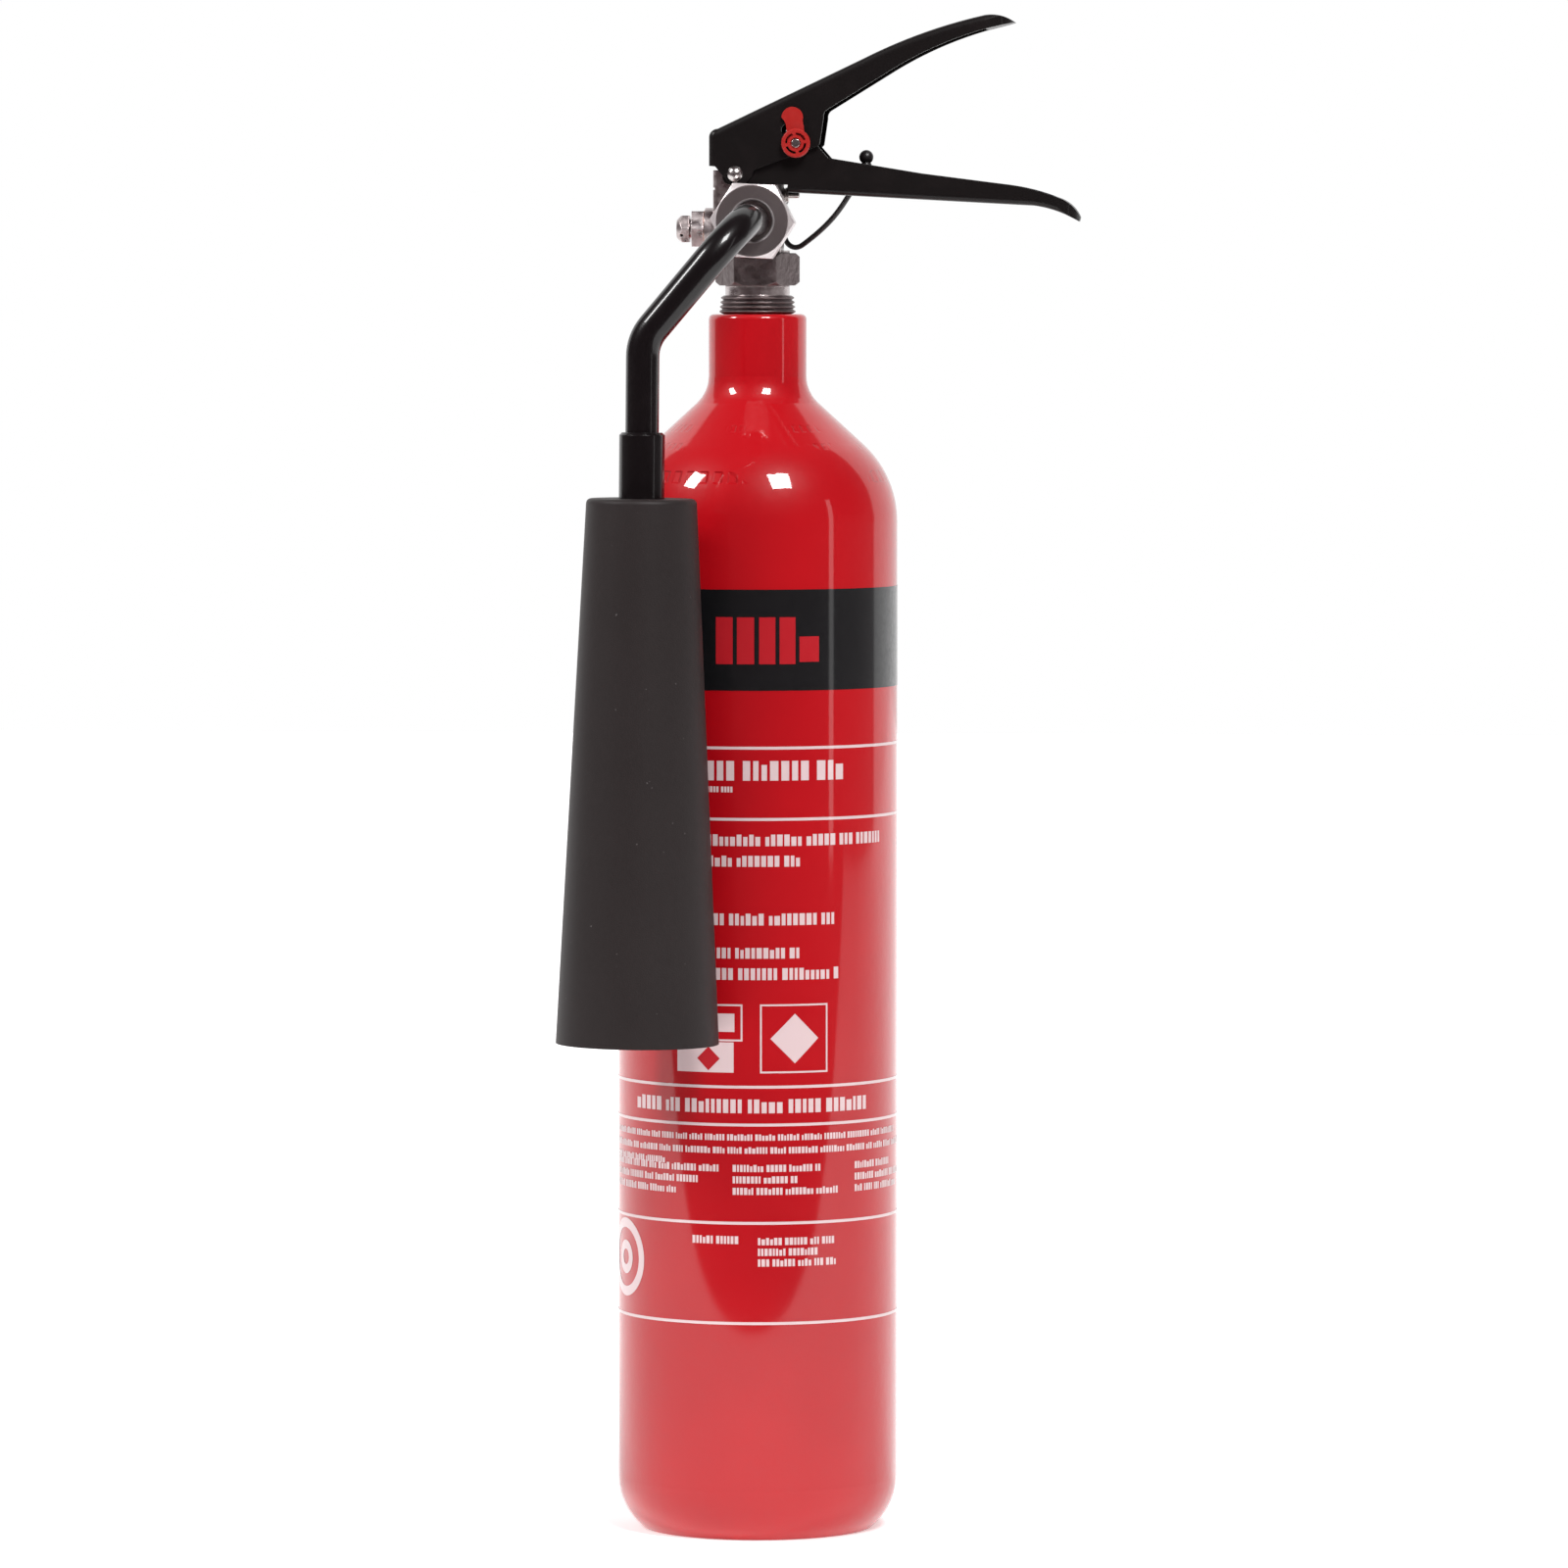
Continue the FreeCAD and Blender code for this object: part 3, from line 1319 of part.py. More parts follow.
def horn_bell():
    """Moulded plastic horn: closed above round the ferrule, open at its mouth below."""
    body = new_body("horn_bell", **horn_place("horn_drop"))
    roof = "-horn_roof"
    mouth = "-horn_length"
    revolve(
        body,
        [
            ("ferrule_spigot_radius", "0"),
            ("ferrule_spigot_radius", roof),
            ("horn_top_radius - horn_wall", roof),
            ("horn_mouth_radius - horn_wall", mouth),
            ("horn_mouth_radius", mouth),
            ("horn_top_radius", "0"),
        ],
    )
    round_rims(body, "horn_edge", [("horn_top_radius", "0")])
    keep(body)
    nut = new_body("horn_lock_nut", **horn_place("horn_drop"))
    pad(nut, "XY_Plane", hexagon("lock_nut_flats"), "lock_nut_height", "-horn_roof - lock_nut_height")
    hole = ("0", "0", "ferrule_spigot_radius")
    cut(nut, "XY_Plane", hole, "horn_roof + lock_nut_height", "-horn_roof - lock_nut_height - 1")
    keep(nut)


# ---------------------------------------------------------------- build and write
cylinder_shell()
valve_body()
stem_pieces()
valve_spring()
spring_retainer()
dip_tube()
gland()
outlet_nut()
swivel_washer()
swivel_tail()
burst_disc_set()
carry_handle()
squeeze_lever()
pivot_rivet()
handle_screw()
safety_pin()
pull_ring()
tamper_seal()
tether()
horn_tube()
horn_ferrule()
horn_bell()
doc.recompute()

broken = [item.Label for item in doc.Objects if "Invalid" in item.State or "Error" in item.State]
broken += [item.Label for item in parts if item.Shape.isNull() or not item.Shape.isValid()]
if broken:
    raise RuntimeError("these failed: " + ", ".join(broken))
for item in parts:
    item.Shape.exportStep(f"parts/{item.Label}.step")
    print(item.Label, "solids", len(item.Shape.Solids), "volume", round(item.Shape.Volume, 1))
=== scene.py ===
import json
import math
import random

import bmesh
import bpy
from mathutils import Matrix, Vector


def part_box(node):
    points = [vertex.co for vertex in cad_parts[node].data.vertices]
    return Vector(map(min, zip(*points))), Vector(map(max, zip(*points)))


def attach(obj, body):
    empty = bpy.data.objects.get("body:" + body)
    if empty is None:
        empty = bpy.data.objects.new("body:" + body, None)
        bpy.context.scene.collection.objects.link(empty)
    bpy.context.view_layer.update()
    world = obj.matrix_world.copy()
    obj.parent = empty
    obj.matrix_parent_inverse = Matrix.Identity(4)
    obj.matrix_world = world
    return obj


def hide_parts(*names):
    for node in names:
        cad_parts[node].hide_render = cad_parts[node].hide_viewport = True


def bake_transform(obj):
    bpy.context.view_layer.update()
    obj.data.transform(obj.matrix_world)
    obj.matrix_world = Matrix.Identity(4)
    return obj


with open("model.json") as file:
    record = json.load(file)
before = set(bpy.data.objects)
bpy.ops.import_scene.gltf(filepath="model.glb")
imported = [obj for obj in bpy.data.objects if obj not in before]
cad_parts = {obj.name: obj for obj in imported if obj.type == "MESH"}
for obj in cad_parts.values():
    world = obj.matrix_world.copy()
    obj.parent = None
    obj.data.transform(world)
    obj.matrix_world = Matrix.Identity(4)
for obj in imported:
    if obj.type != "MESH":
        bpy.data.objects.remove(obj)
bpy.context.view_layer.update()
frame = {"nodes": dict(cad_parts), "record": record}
MM = 0.001

# Sizes of the frame that the pieces below are worked out from, in metres.
shell_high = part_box("cylinder_shell")[1]
CYLINDER_RADIUS = shell_high.x
NECK_TOP = shell_high.z


# ---------------------------------------------------------------- camera
VIEW_AZIMUTH = math.radians(4.0)
VIEW_RIGHT = Vector((math.cos(VIEW_AZIMUTH), math.sin(VIEW_AZIMUTH), 0))
VIEW_AWAY = Vector((-math.sin(VIEW_AZIMUTH), math.cos(VIEW_AZIMUTH), 0))
CAMERA_DISTANCE = 3.6
CAMERA_HEIGHT = 0.492
AIM_HEIGHT = 0.2883
AIM_RIGHT = 0.0102
LENS = 214
SENSOR_WIDTH = 36


def add_camera():
    camera = bpy.data.objects.new("camera", bpy.data.cameras.new("camera"))
    bpy.context.scene.collection.objects.link(camera)
    camera.data.lens = LENS
    camera.data.sensor_width = SENSOR_WIDTH
    camera.data.clip_end = 50
    aim = VIEW_RIGHT * AIM_RIGHT + Vector((0, 0, AIM_HEIGHT))
    camera.location = VIEW_RIGHT * AIM_RIGHT - VIEW_AWAY * CAMERA_DISTANCE + Vector((0, 0, CAMERA_HEIGHT))
    camera.rotation_euler = (aim - camera.location).to_track_quat("-Z", "Y").to_euler()
    bpy.context.scene.camera = camera


# ---------------------------------------------------------------- tether
# The same route as the model's: x, y and height above the neck's top, in millimetres.
TETHER_ROUTE = [
    (42.0, 0.0, 56.4),
    (42.0, 0.0, 53.4),
    (40.6, 0.1, 51.0),
    (37.6, 0.4, 48.8),
    (34.9, 0.9, 45.2),
    (32.4, 2.2, 41.4),
    (28.9, 4.4, 37.0),
    (24.2, 7.0, 32.4),
    (19.4, 10.0, 28.6),
    (14.4, 12.8, 25.0),
    (10.0, 15.0, 27.0),
    (8.6, 16.4, 33.2),
    (8.6, 17.0, 39.6),
    (10.2, 17.2, 46.0),
    (12.6, 17.1, 52.0),
    (15.0, 17.0, 56.8),
    (15.9, 17.0, 59.2),
    (15.9, 17.0, 61.5),
]
TETHER_DIAMETER = 2.1 * MM


def link(name, mesh):
    piece = bpy.data.objects.new(name, mesh)
    bpy.context.scene.collection.objects.link(piece)
    return piece


def route_points(route):
    """Points along the NURBS curve that has the route as its control points."""
    curve = bpy.data.curves.new("route", "CURVE")
    curve.dimensions = "3D"
    curve.resolution_u = 8
    spline = curve.splines.new("NURBS")
    spline.points.add(len(route) - 1)
    for point, (x, y, v) in zip(spline.points, route):
        point.co = (x * MM, y * MM, v * MM + NECK_TOP, 1)
    spline.order_u = 3
    spline.use_endpoint_u = True
    holder = link("route", curve)
    mesh = bpy.data.meshes.new_from_object(holder)
    points = [vertex.co.copy() for vertex in mesh.vertices]
    bpy.data.objects.remove(holder)
    bpy.data.meshes.remove(mesh)
    return points


def tube_mesh(name, points, radius, sides=16):
    """A closed round tube along points, without twist."""
    bm = bmesh.new()
    rings = []
    across = None
    for index, point in enumerate(points):
        ahead = points[min(index + 1, len(points) - 1)] - points[max(index - 1, 0)]
        ahead.normalize()
        if across is None:
            across = ahead.orthogonal()
        across = (across - ahead * across.dot(ahead)).normalized()
        beside = ahead.cross(across)
        ring = []
        for side in range(sides):
            angle = 2 * math.pi * side / sides
            ring.append(bm.verts.new(point + (across * math.cos(angle) + beside * math.sin(angle)) * radius))
        rings.append(ring)
    for ring, after in zip(rings, rings[1:]):
        for side in range(sides):
            beyond = (side + 1) % sides
            bm.faces.new((ring[side], ring[beyond], after[beyond], after[side]))
    bm.faces.new(list(reversed(rings[0])))
    bm.faces.new(rings[-1])
    for face in bm.faces:
        face.smooth = len(face.verts) == 4
    mesh = bpy.data.meshes.new(name)
    bm.to_mesh(mesh)
    bm.free()
    return mesh


def add_tether():
    points = route_points(TETHER_ROUTE)
    strap = link("tether_strap", tube_mesh("tether_strap", points, TETHER_DIAMETER / 2))
    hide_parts("tether")
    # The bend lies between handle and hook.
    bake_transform(strap)
    return strap


add_camera()
tether_strap = add_tether()


# ---------------------------------------------------------------- materials
# Sockets of a colour Mix node.
MIX_FACTOR, MIX_A, MIX_B, MIX_RESULT = 0, 6, 7, 2


class Surface:
    """A procedural material: a Principled shader and short calls that feed it."""

    def __init__(self, name, color, roughness, metallic=0.0, **sockets):
        self.material = bpy.data.materials.new(name)
        self.material.use_nodes = True
        self.nodes = self.material.node_tree.nodes
        self.links = self.material.node_tree.links
        self.shader = self.nodes["Principled BSDF"]
        self.color = color
        self.set("Base Color", (*color, 1))
        self.set("Roughness", roughness)
        self.set("Metallic", metallic)
        for socket, value in sockets.items():
            self.set(socket.replace("_", " "), value)
        self.point = self.add("ShaderNodeTexCoord").outputs["Object"]
        self.bump = None

    def set(self, socket, value):
        """Give a shader socket a constant, or the output of a node."""
        if isinstance(value, bpy.types.NodeSocket):
            self.links.new(value, self.shader.inputs[socket])
        else:
            self.shader.inputs[socket].default_value = value

    def add(self, kind, inputs=None, **settings):
        node = self.nodes.new(kind)
        for setting, value in settings.items():
            setattr(node, setting, value)
        for key, value in (inputs or {}).items():
            if isinstance(value, bpy.types.NodeSocket):
                self.links.new(value, node.inputs[key])
            else:
                node.inputs[key].default_value = value
        return node

    def math(self, operation, first, second=0.0, third=0.0):
        node = self.add("ShaderNodeMath", {0: first, 1: second, 2: third}, operation=operation)
        return node.outputs[0]

    def noise(self, scale, detail=2.0, roughness=0.5, stretch=(1, 1, 1)):
        """Noise in the object's own metres; scale is in features per metre."""
        where = self.add("ShaderNodeMapping", {"Vector": self.point, "Scale": stretch}).outputs[0]
        inputs = {"Vector": where, "Scale": scale, "Detail": detail, "Roughness": roughness}
        return self.add("ShaderNodeTexNoise", inputs).outputs["Fac"]

    def ramp(self, value, low, high, start=0.0, end=1.0):
        """Value between low and high, spread over start to end and held outside them."""
        inputs = {0: value, 1: low, 2: high, 3: start, 4: end}
        return self.add("ShaderNodeMapRange", inputs, clamp=True).outputs[0]

    def mix(self, factor, first, second):
        """First where the factor is 0, second where it is 1."""
        inputs = {MIX_FACTOR: factor, MIX_A: self.as_color(first), MIX_B: self.as_color(second)}
        return self.add("ShaderNodeMix", inputs, data_type="RGBA").outputs[MIX_RESULT]

    @staticmethod
    def as_color(value):
        return value if isinstance(value, bpy.types.NodeSocket) else (*value, 1)

    def relief(self, height, depth):
        """Add a height (0 to 1) of the given depth in metres to the shader's normal."""
        inputs = {"Height": height, "Distance": depth, "Strength": 1.0}
        if self.bump is not None:
            inputs["Normal"] = self.bump
        self.bump = self.add("ShaderNodeBump", inputs).outputs[0]
        self.set("Normal", self.bump)


# Height, half height, bars in half a turn, and relative depth of each row of stamps.
STAMP_ROWS = ((0.4262, 1.5 * MM, 61, 0.5), (0.4194, 1.4 * MM, 67, 0.6), (0.4079, 2.4 * MM, 53, 1.0))


def red_paint():
    """Gloss paint over the alloy: a fine orange peel, soft shifts of shade and marks in the shoulder."""
    paint = Surface("red_paint", (0.5, 0.002, 0.007), 0.4, Specular_IOR_Level=0.15, Coat_Weight=1.0)
    paint.set("Coat Roughness", 0.05)
    shade = paint.ramp(paint.noise(9, 3), 0.35, 0.65)
    paint.set("Base Color", paint.mix(shade, (0.46, 0.0015, 0.0065), (0.53, 0.003, 0.008)))
    paint.relief(paint.noise(160, 3), 0.00012)
    paint.relief(paint.noise(900, 2), 0.00002)
    paint.relief(shoulder_stamps(paint), 0.0006)
    return paint.material


def shoulder_stamps(paint):
    """Three rows of small pressed bars round the shoulder, grouped like words."""
    place = paint.add("ShaderNodeSeparateXYZ", {0: paint.point}).outputs
    turn = paint.math("ARCTAN2", place["X"], place["Y"])
    words = paint.ramp(paint.noise(45, 1, stretch=(1, 1, 0.2)), 0.46, 0.5)
    marks = 0.0
    for level, half, count, depth in STAMP_ROWS:
        offset = paint.math("ABSOLUTE", paint.math("SUBTRACT", place["Z"], level))
        row = paint.ramp(offset, half, half - 0.6 * MM, 0.0, depth)
        step = paint.math("PINGPONG", paint.math("MULTIPLY", turn, count / math.pi), 1.0)
        mark = paint.math("MULTIPLY", paint.math("MULTIPLY", row, paint.ramp(step, 0.3, 0.6)), words)
        marks = paint.math("ADD", marks, mark)
    return paint.math("SUBTRACT", 1.0, marks)


def ink(name, color):
    """Screen-printed ink under the same varnish as the paint."""
    surface = Surface(name, color, 0.4, Specular_IOR_Level=0.2, Coat_Weight=0.8, Coat_Roughness=0.08)
    surface.set("Roughness", surface.ramp(surface.noise(400, 2), 0.3, 0.7, 0.34, 0.46))
    return surface.material


def soften(surface, radius):
    """Round the look of sharp edges by a radius in metres."""
    surface.bump = surface.add("ShaderNodeBevel", {"Radius": radius}, samples=6).outputs[0]
    surface.set("Normal", surface.bump)


# Heights of the valve body's rough parts: its cast collar and its stained thread.
COLLAR_RANGE = (NECK_TOP + 10.4 * MM, NECK_TOP + 24.0 * MM)
THREAD_RANGE = (NECK_TOP - 40 * MM, NECK_TOP + 7.2 * MM)


def level_mask(surface, height, low, high):
    """1 between two heights and 0 outside them."""
    above = surface.ramp(height, low, low + 0.3 * MM)
    below = surface.ramp(height, high, high - 0.3 * MM)
    return surface.math("MULTIPLY", above, below)


def plated_brass():
    """Nickel plate over a brass forging: uneven grain, stains in the hollows and faint tool marks."""
    metal = Surface("nickel_plate", (0.52, 0.48, 0.47), 0.3, 1.0)
    soften(metal, 0.0005)
    stain = metal.ramp(metal.noise(140, 4, 0.6), 0.4, 0.62)
    shine = metal.mix(stain, (0.44, 0.38, 0.375), (0.62, 0.56, 0.56))
    height = metal.add("ShaderNodeSeparateXYZ", {0: metal.point}).outputs["Z"]
    collar = level_mask(metal, height, *COLLAR_RANGE)
    rough = metal.math("ADD", collar, level_mask(metal, height, *THREAD_RANGE))
    metal.set("Base Color", metal.mix(rough, shine, (0.2, 0.165, 0.165)))
    smooth = metal.ramp(metal.noise(300, 3), 0.3, 0.7, 0.2, 0.42)
    metal.set("Roughness", metal.math("MULTIPLY_ADD", rough, 0.12, smooth))
    metal.relief(metal.noise(500, 3, stretch=(1, 1, 2)), 0.0001)
    metal.relief(metal.math("MULTIPLY", rough, metal.noise(260, 4, 0.6)), 0.0005)
    return metal.material


# The nut's face: lathe rings in radians per metre, and the radii where the painted highlights round its bore
# and its outer border rise and fall.
LATHE_RATE = 15000.0
NUT_RIM_HIGHLIGHT_INSIDE = (7.6 * MM, 7.9 * MM)
NUT_RIM_HIGHLIGHT_OUTSIDE = (8.7 * MM, 8.4 * MM)
NUT_EDGE_HIGHLIGHT = (13.7 * MM, 13.9 * MM)


def turned_brass(centre):
    """The nut's plate: the rings that a lathe leaves round the outlet's axis, which passes through centre,
    and a painted highlight in pale rings round the bore and the outer border.
    """
    metal = Surface("turned_plate", (0.5, 0.45, 0.45), 0.3, 1.0)
    soften(metal, 0.0005)
    parts = metal.add("ShaderNodeSeparateXYZ", {0: metal.point}).outputs
    across = metal.math("SUBTRACT", parts["X"], centre.x)
    up = metal.math("SUBTRACT", parts["Z"], centre.z)
    squares = metal.math("ADD", metal.math("MULTIPLY", across, across), metal.math("MULTIPLY", up, up))
    radius = metal.math("SQRT", squares)
    waver = metal.math("MULTIPLY", metal.noise(90, 2), 2.0)
    rings = metal.math("SINE", metal.math("ADD", metal.math("MULTIPLY", radius, LATHE_RATE), waver))
    metal.set("Roughness", metal.ramp(rings, -1.0, 1.0, 0.3, 0.4))
    face = metal.mix(metal.ramp(rings, -1.0, 1.0), (0.4, 0.35, 0.35), (0.47, 0.42, 0.42))
    # Painted highlight: pale, less metallic rings round the bore and the outer border stand in for light on
    # the nut's chamfers.
    bore_rim_highlight = metal.math("MULTIPLY", metal.ramp(radius, *NUT_RIM_HIGHLIGHT_INSIDE), metal.ramp(radius, *NUT_RIM_HIGHLIGHT_OUTSIDE))
    rim_and_edge_highlight = metal.math("ADD", bore_rim_highlight, metal.ramp(radius, *NUT_EDGE_HIGHLIGHT))
    metal.set("Base Color", metal.mix(rim_and_edge_highlight, face, (0.8, 0.74, 0.74)))
    metal.set("Metallic", metal.ramp(rim_and_edge_highlight, 0.0, 1.0, 1.0, 0.6))
    metal.relief(rings, 0.000006)
    return metal.material


def plain_metal(name, color, low, high):
    metal = Surface(name, color, low, 1.0)
    soften(metal, 0.0003)
    metal.set("Roughness", metal.ramp(metal.noise(500, 3), 0.3, 0.7, low, high))
    metal.relief(metal.noise(1500, 2), 0.00002)
    return metal.material


def black_paint(name, color, roughness, coat):
    """Powder coat: a fine pebble and slightly lighter dust in the grain."""
    paint = Surface(name, color, roughness, Specular_IOR_Level=0.2, Coat_Weight=coat, Coat_Roughness=0.08)
    soften(paint, 0.0006)
    dust = paint.ramp(paint.noise(120, 4), 0.5, 0.75)
    paint.set("Base Color", paint.mix(dust, color, tuple(part * 1.5 for part in color)))
    paint.relief(paint.noise(1400, 2), 0.00002)
    return paint.material


def horn_plastic():
    """Warm black moulded plastic with a fine matt grain and a few pale specks."""
    plastic = Surface("horn_plastic", (0.018, 0.012, 0.012), 0.55, Specular_IOR_Level=0.35)
    cloud = plastic.ramp(plastic.noise(14, 4), 0.3, 0.7)
    shade = plastic.mix(cloud, (0.015, 0.01, 0.01), (0.02, 0.014, 0.014))
    speck = plastic.ramp(plastic.noise(620, 1), 0.79, 0.81)
    plastic.set("Base Color", plastic.mix(speck, shade, (0.09, 0.08, 0.08)))
    plastic.relief(plastic.noise(2200, 2), 0.00004)
    return plastic.material


def moulded_plastic(name, color, roughness):
    plastic = Surface(name, color, roughness, Coat_Weight=0.1)
    low, high = roughness * 0.85, roughness * 1.15
    plastic.set("Roughness", plastic.ramp(plastic.noise(300, 2), 0.3, 0.7, low, high))
    plastic.relief(plastic.noise(900, 2), 0.00002)
    return plastic.material


SURFACES = {
    "painted_shell": red_paint(),
    "plated_brass": plated_brass(),
    "bare_brass": plain_metal("machined_brass", (0.55, 0.42, 0.24), 0.2, 0.35),
    "copper": plain_metal("soft_copper", (0.5, 0.3, 0.24), 0.3, 0.45),
    "bright_steel": plain_metal("bright_steel", (0.6, 0.57, 0.56), 0.18, 0.3),
    "zinc_steel": plain_metal("zinc_plate", (0.55, 0.52, 0.5), 0.25, 0.4),
    "bare_aluminium": plain_metal("drawn_aluminium", (0.7, 0.7, 0.71), 0.3, 0.4),
    "black_tube": black_paint("gloss_black", (0.005, 0.0035, 0.004), 0.3, 0.5),
    "black_handle": black_paint("satin_black", (0.005, 0.0035, 0.0035), 0.45, 0.2),
    "horn_plastic": horn_plastic(),
    "red_plastic": moulded_plastic("red_plastic", (0.42, 0.015, 0.012), 0.4),
    "black_plastic": moulded_plastic("black_plastic", (0.012, 0.009, 0.01), 0.4),
    "nitrile": moulded_plastic("nitrile_rubber", (0.015, 0.015, 0.015), 0.6),
    "nylon": moulded_plastic("white_nylon", (0.7, 0.68, 0.62), 0.45),
}
NUT_SURFACE = turned_brass(sum(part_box("outlet_nut"), Vector()) / 2)


def finish_nodes():
    """Give every CAD node the surface of its material slot."""
    for row in frame["record"]["subparts"]:
        node = frame["nodes"][row["node"]]
        node.data.materials.clear()
        node.data.materials.append(SURFACES[row["material_slot"]])
    frame["nodes"]["outlet_nut"].data.materials[0] = NUT_SURFACE
    tether_strap.data.materials.append(SURFACES["black_plastic"])


# ---------------------------------------------------------------- printed label
# Distances are in millimetres: s runs round the cylinder from its front, z up from the foot.
INK_RADIUS = CYLINDER_RADIUS + 0.06 * MM
OVERPRINT_RADIUS = INK_RADIUS + 0.04 * MM
HALF_TURN = math.pi * CYLINDER_RADIUS / MM
PATCH_STEP = 1.2
BAND = (326.9, 365.4)
RULE_LEVELS = (305.0, 277.8, 175.4, 160.9, 123.2, 84.7)
RULE_REACH = 118
RULE_HALF = 0.55
# Lines of print: from s, to s, from z, to z.
LINES = (
    (-62, 40.5, 292.6, 300.1),
    (-62, -5.3, 288.1, 290.3),
    (-62, 60.6, 267.6, 272.0),
    (-62, 20.8, 259.7, 263.9),
    (-62, 36.8, 237.3, 241.8),
    (-62, 22.4, 224.6, 228.7),
    (-62, 36.8, 216.4, 220.9),
    (-51.4, 51.6, 165.4, 170.7),
    (-75, 75, 154.9, 157.3),
    (-75, 90, 149.9, 152.4),
    (-75, -33, 145.3, 147.7),
)
COLUMNS = ((-75, -10.6), (-5.7, 38.6), (44.9, 88))
COLUMN_TOP, COLUMN_PITCH, COLUMN_LETTER = 145.6, 4.4, 2.7
ADDRESS_TOP, ADDRESS_PITCH, ADDRESS_LETTER = 117.6, 4.1, 2.8
SIGN_LINE = 0.7
BAND_BLOCKS = ((-12.2, -5.6), (-4.0, 2.6), (4.5, 10.7), (12.3, 18.5))


class Print:
    """Ink patches on the cylinder's wall, gathered into one mesh."""

    def __init__(self, name, color, radius=INK_RADIUS):
        self.name = name
        self.color = color
        self.radius = radius
        self.bm = bmesh.new()

    def point(self, s, z):
        angle = s * MM / CYLINDER_RADIUS
        return Vector((self.radius * math.sin(angle), -self.radius * math.cos(angle), z * MM))

    def patch(self, s0, s1, z0, z1):
        """A filled rectangle, split finely enough to follow the wall."""
        steps = max(1, math.ceil((s1 - s0) / PATCH_STEP))
        columns = []
        for step in range(steps + 1):
            s = s0 + (s1 - s0) * step / steps
            columns.append([self.bm.verts.new(self.point(s, z)) for z in (z0, z1)])
        for left, right in zip(columns, columns[1:]):
            self.bm.faces.new((left[0], right[0], right[1], left[1]))

    def frame(self, s0, s1, z0, z1, line):
        """An outlined rectangle."""
        self.patch(s0, s1, z0, z0 + line)
        self.patch(s0, s1, z1 - line, z1)
        self.patch(s0, s0 + line, z0 + line, z1 - line)
        self.patch(s1 - line, s1, z0 + line, z1 - line)

    def ring(self, s, z, outer, inner, sides=64):
        circles = []
        for radius in (inner, outer):
            circle = []
            for side in range(sides):
                angle = 2 * math.pi * side / sides
                spot = self.point(s + radius * math.cos(angle), z + radius * math.sin(angle))
                circle.append(self.bm.verts.new(spot))
            circles.append(circle)
        for side in range(sides):
            after = (side + 1) % sides
            self.bm.faces.new((circles[0][side], circles[1][side], circles[1][after], circles[0][after]))

    def diamond(self, s, z, reach):
        """A filled square that stands on a corner."""
        columns = []
        for step in range(-8, 9):
            across = reach * step / 8
            half = reach - abs(across) + 0.01
            columns.append([self.bm.verts.new(self.point(s + across, z + way * half)) for way in (-1, 1)])
        for left, right in zip(columns, columns[1:]):
            self.bm.faces.new((left[0], right[0], right[1], left[1]))

    def words(self, s0, s1, z0, z1, seed):
        """A row of plain blocks, grouped like words, that stands for a line of print."""
        chance = random.Random(seed)
        height = z1 - z0
        s = s0
        while s < s1:
            for _ in range(chance.choice((3, 4, 5, 6, 7, 8, 9))):
                width = height * chance.uniform(0.26, 0.5)
                if s + width > s1:
                    return
                top = chance.choice((1.0, 1.0, 1.0, 0.8))
                self.patch(s, s + width, z0, z0 + top * height)
                s += width + height * 0.15
            s += height * 0.3

    def finish(self):
        mesh = bpy.data.meshes.new(self.name)
        self.bm.to_mesh(mesh)
        self.bm.free()
        for polygon in mesh.polygons:
            polygon.use_smooth = True
        piece = link(self.name, mesh)
        mesh.materials.append(ink(self.name, self.color))
        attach(piece, "extinguisher")


def add_white_print():
    """Rules, lines of print, columns, two signs in boxes and a round mark."""
    white = Print("print_white", (0.78, 0.6, 0.61))
    for z in RULE_LEVELS:
        white.patch(-RULE_REACH, RULE_REACH, z - RULE_HALF, z + RULE_HALF)
    for seed, line in enumerate(LINES):
        white.words(*line, seed)
    for column, (s0, s1) in enumerate(COLUMNS):
        for line in range(3):
            top = COLUMN_TOP - COLUMN_PITCH * line
            end = s1 - 9 * ((line + column) % 3)
            white.words(s0, end, top - COLUMN_LETTER, top, 20 + 3 * column + line)
    white.words(-22, -2.5, 115.2, 118.2, 40)
    for line in range(3):
        top = ADDRESS_TOP - ADDRESS_PITCH * line
        white.words(4, 36 - 8 * (line % 2), top - ADDRESS_LETTER, top, 41 + line)
    white.frame(4.8, 31.8, 180.7, 207.1, SIGN_LINE)
    white.frame(-29.5, -1.9, 192.9, 207.1, SIGN_LINE)
    white.diamond(18.3, 193.9, 9.5)
    white.patch(-11.5, -5.0, 196.5, 203.5)
    white.patch(-28.7, -5.3, 180.9, 192.5)
    white.ring(-62, 106.8, 15.1, 11.4)
    white.ring(-62, 106.8, 6.5, 3.0)
    white.finish()


def add_label():
    black = Print("print_black", (0.006, 0.006, 0.007))
    black.patch(-HALF_TURN, HALF_TURN, *BAND)
    black.finish()

    add_white_print()

    red = Print("print_red", (0.5, 0.012, 0.02), OVERPRINT_RADIUS)
    for s0, s1 in BAND_BLOCKS:
        red.patch(s0, s1, 337.0, 354.9)
    red.patch(20.1, 28.1, 337.8, 347.5)
    red.diamond(-15.3, 186.2, 4.6)
    red.finish()


# ---------------------------------------------------------------- studio
# A white sheet that ends a little way in front of the object and glows with painted light, more strongly
# further back, a bright wall behind it, and a dim room in front.
ROOM_COLOR = (0.085, 0.06, 0.064)
SHEET_FRONT = -0.75
SHEET_BACK = 6.0
SHEET_SIDE = 4.0


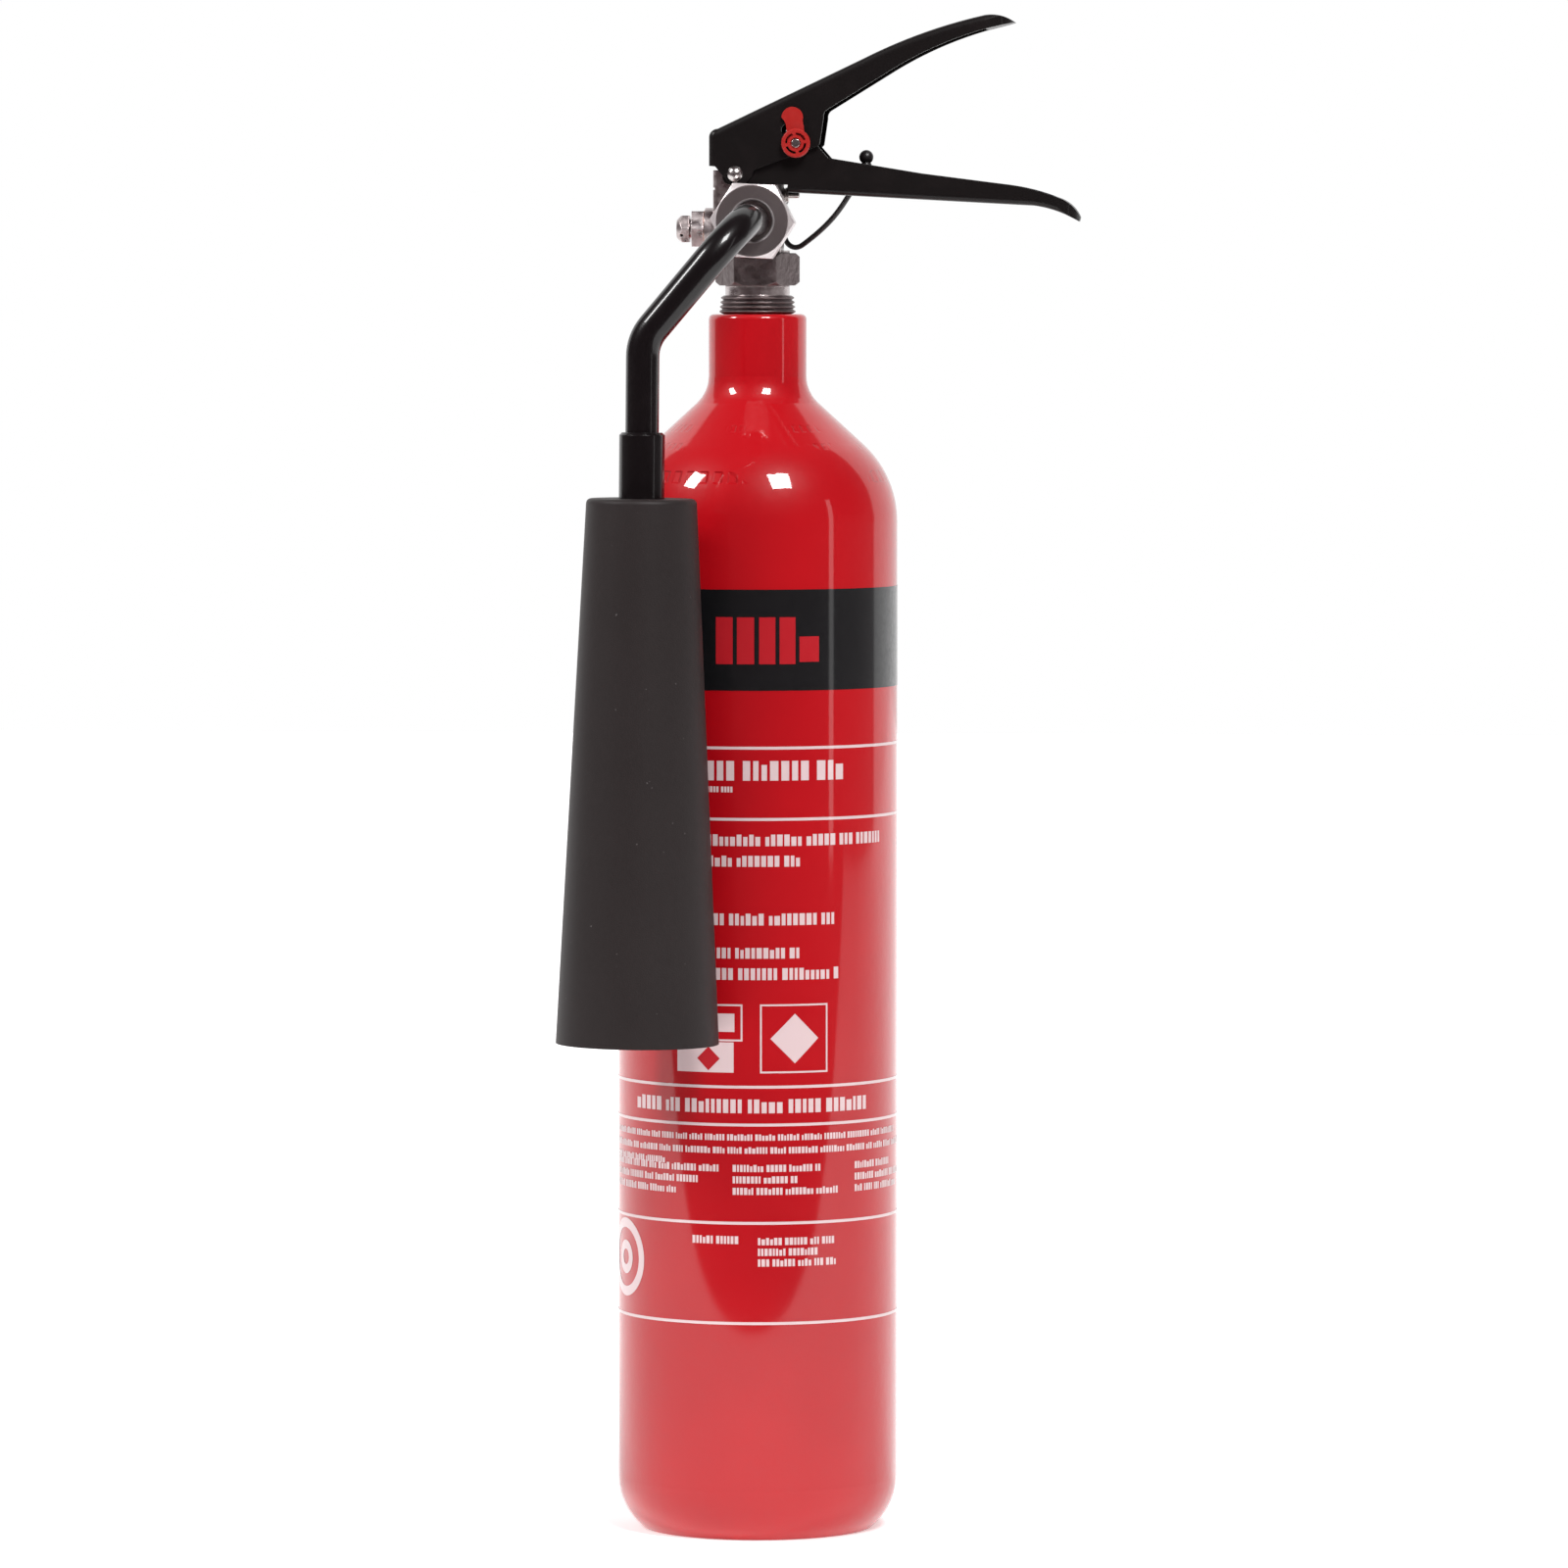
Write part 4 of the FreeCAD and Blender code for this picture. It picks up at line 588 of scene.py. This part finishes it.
def add_stage():
    mesh = bpy.data.meshes.new("floor")
    corners = [
        (-SHEET_SIDE, SHEET_FRONT, 0),
        (SHEET_SIDE, SHEET_FRONT, 0),
        (SHEET_SIDE, SHEET_BACK, 0),
        (-SHEET_SIDE, SHEET_BACK, 0),
    ]
    mesh.from_pydata(corners, [], [(0, 1, 2, 3)])
    floor = link("floor", mesh)
    paper = Surface("glowing_floor_paper", (0.85, 0.85, 0.85), 0.9)
    # Painted light: the sheet glows, half as strongly near the object as two metres behind it, so it reads
    # white without a lamp on it.
    paper.set("Emission Color", (1, 1, 1, 1))
    depth = paper.add("ShaderNodeSeparateXYZ", {0: paper.point}).outputs["Y"]
    paper.set("Emission Strength", paper.ramp(depth, 0.1, 2.0, 0.5, 1.0))
    mesh.materials.append(paper.material)


def add_light(name, location, aim, size, energy):
    light = bpy.data.objects.new(name, bpy.data.lights.new(name, "AREA"))
    bpy.context.scene.collection.objects.link(light)
    light.data.shape = "RECTANGLE"
    light.data.size, light.data.size_y = size
    light.data.energy = energy
    light.location = location
    light.rotation_euler = (Vector(aim) - Vector(location)).to_track_quat("-Z", "Y").to_euler()


def add_room():
    """Light from all round: dim in front, bright behind, and plain white as a backdrop."""
    world = bpy.data.worlds.new("studio")
    world.use_nodes = True
    nodes = world.node_tree.nodes
    links = world.node_tree.links
    background = nodes["Background"]
    direction = nodes.new("ShaderNodeTexCoord").outputs["Generated"]
    parts = nodes.new("ShaderNodeSeparateXYZ")
    links.new(direction, parts.inputs[0])
    spread = nodes.new("ShaderNodeMapRange")
    spread.interpolation_type = "SMOOTHSTEP"
    for socket, value in (("From Min", 0.41), ("From Max", 0.47), ("To Min", 0.0), ("To Max", 1.0)):
        spread.inputs[socket].default_value = value
    links.new(parts.outputs["Y"], spread.inputs["Value"])
    seen = nodes.new("ShaderNodeLightPath").outputs["Is Camera Ray"]
    white = nodes.new("ShaderNodeMath")
    white.operation = "MAXIMUM"
    links.new(spread.outputs[0], white.inputs[0])
    links.new(seen, white.inputs[1])
    blend = nodes.new("ShaderNodeMix")
    blend.data_type = "RGBA"
    links.new(white.outputs[0], blend.inputs[MIX_FACTOR])
    blend.inputs[MIX_A].default_value = (*ROOM_COLOR, 1)
    blend.inputs[MIX_B].default_value = (1, 1, 1, 1)
    links.new(blend.outputs[MIX_RESULT], background.inputs["Color"])
    background.inputs["Strength"].default_value = 1.0
    bpy.context.scene.world = world


def add_studio():
    add_room()
    add_light("key_box", (0.85, -1.6, 2.3), (0, 0, 0.3), (0.7, 0.8), 58)
    add_light("left_box", (-1.8, -0.9, 2.1), (0, 0, 0.1), (0.5, 0.7), 36)
    add_light("right_strip", (2.2, -0.95, 0.7), (0, 0, 0.35), (0.18, 1.2), 1.2)
    bpy.context.scene.view_settings.view_transform = "Standard"


finish_nodes()
add_label()
add_stage()
add_studio()
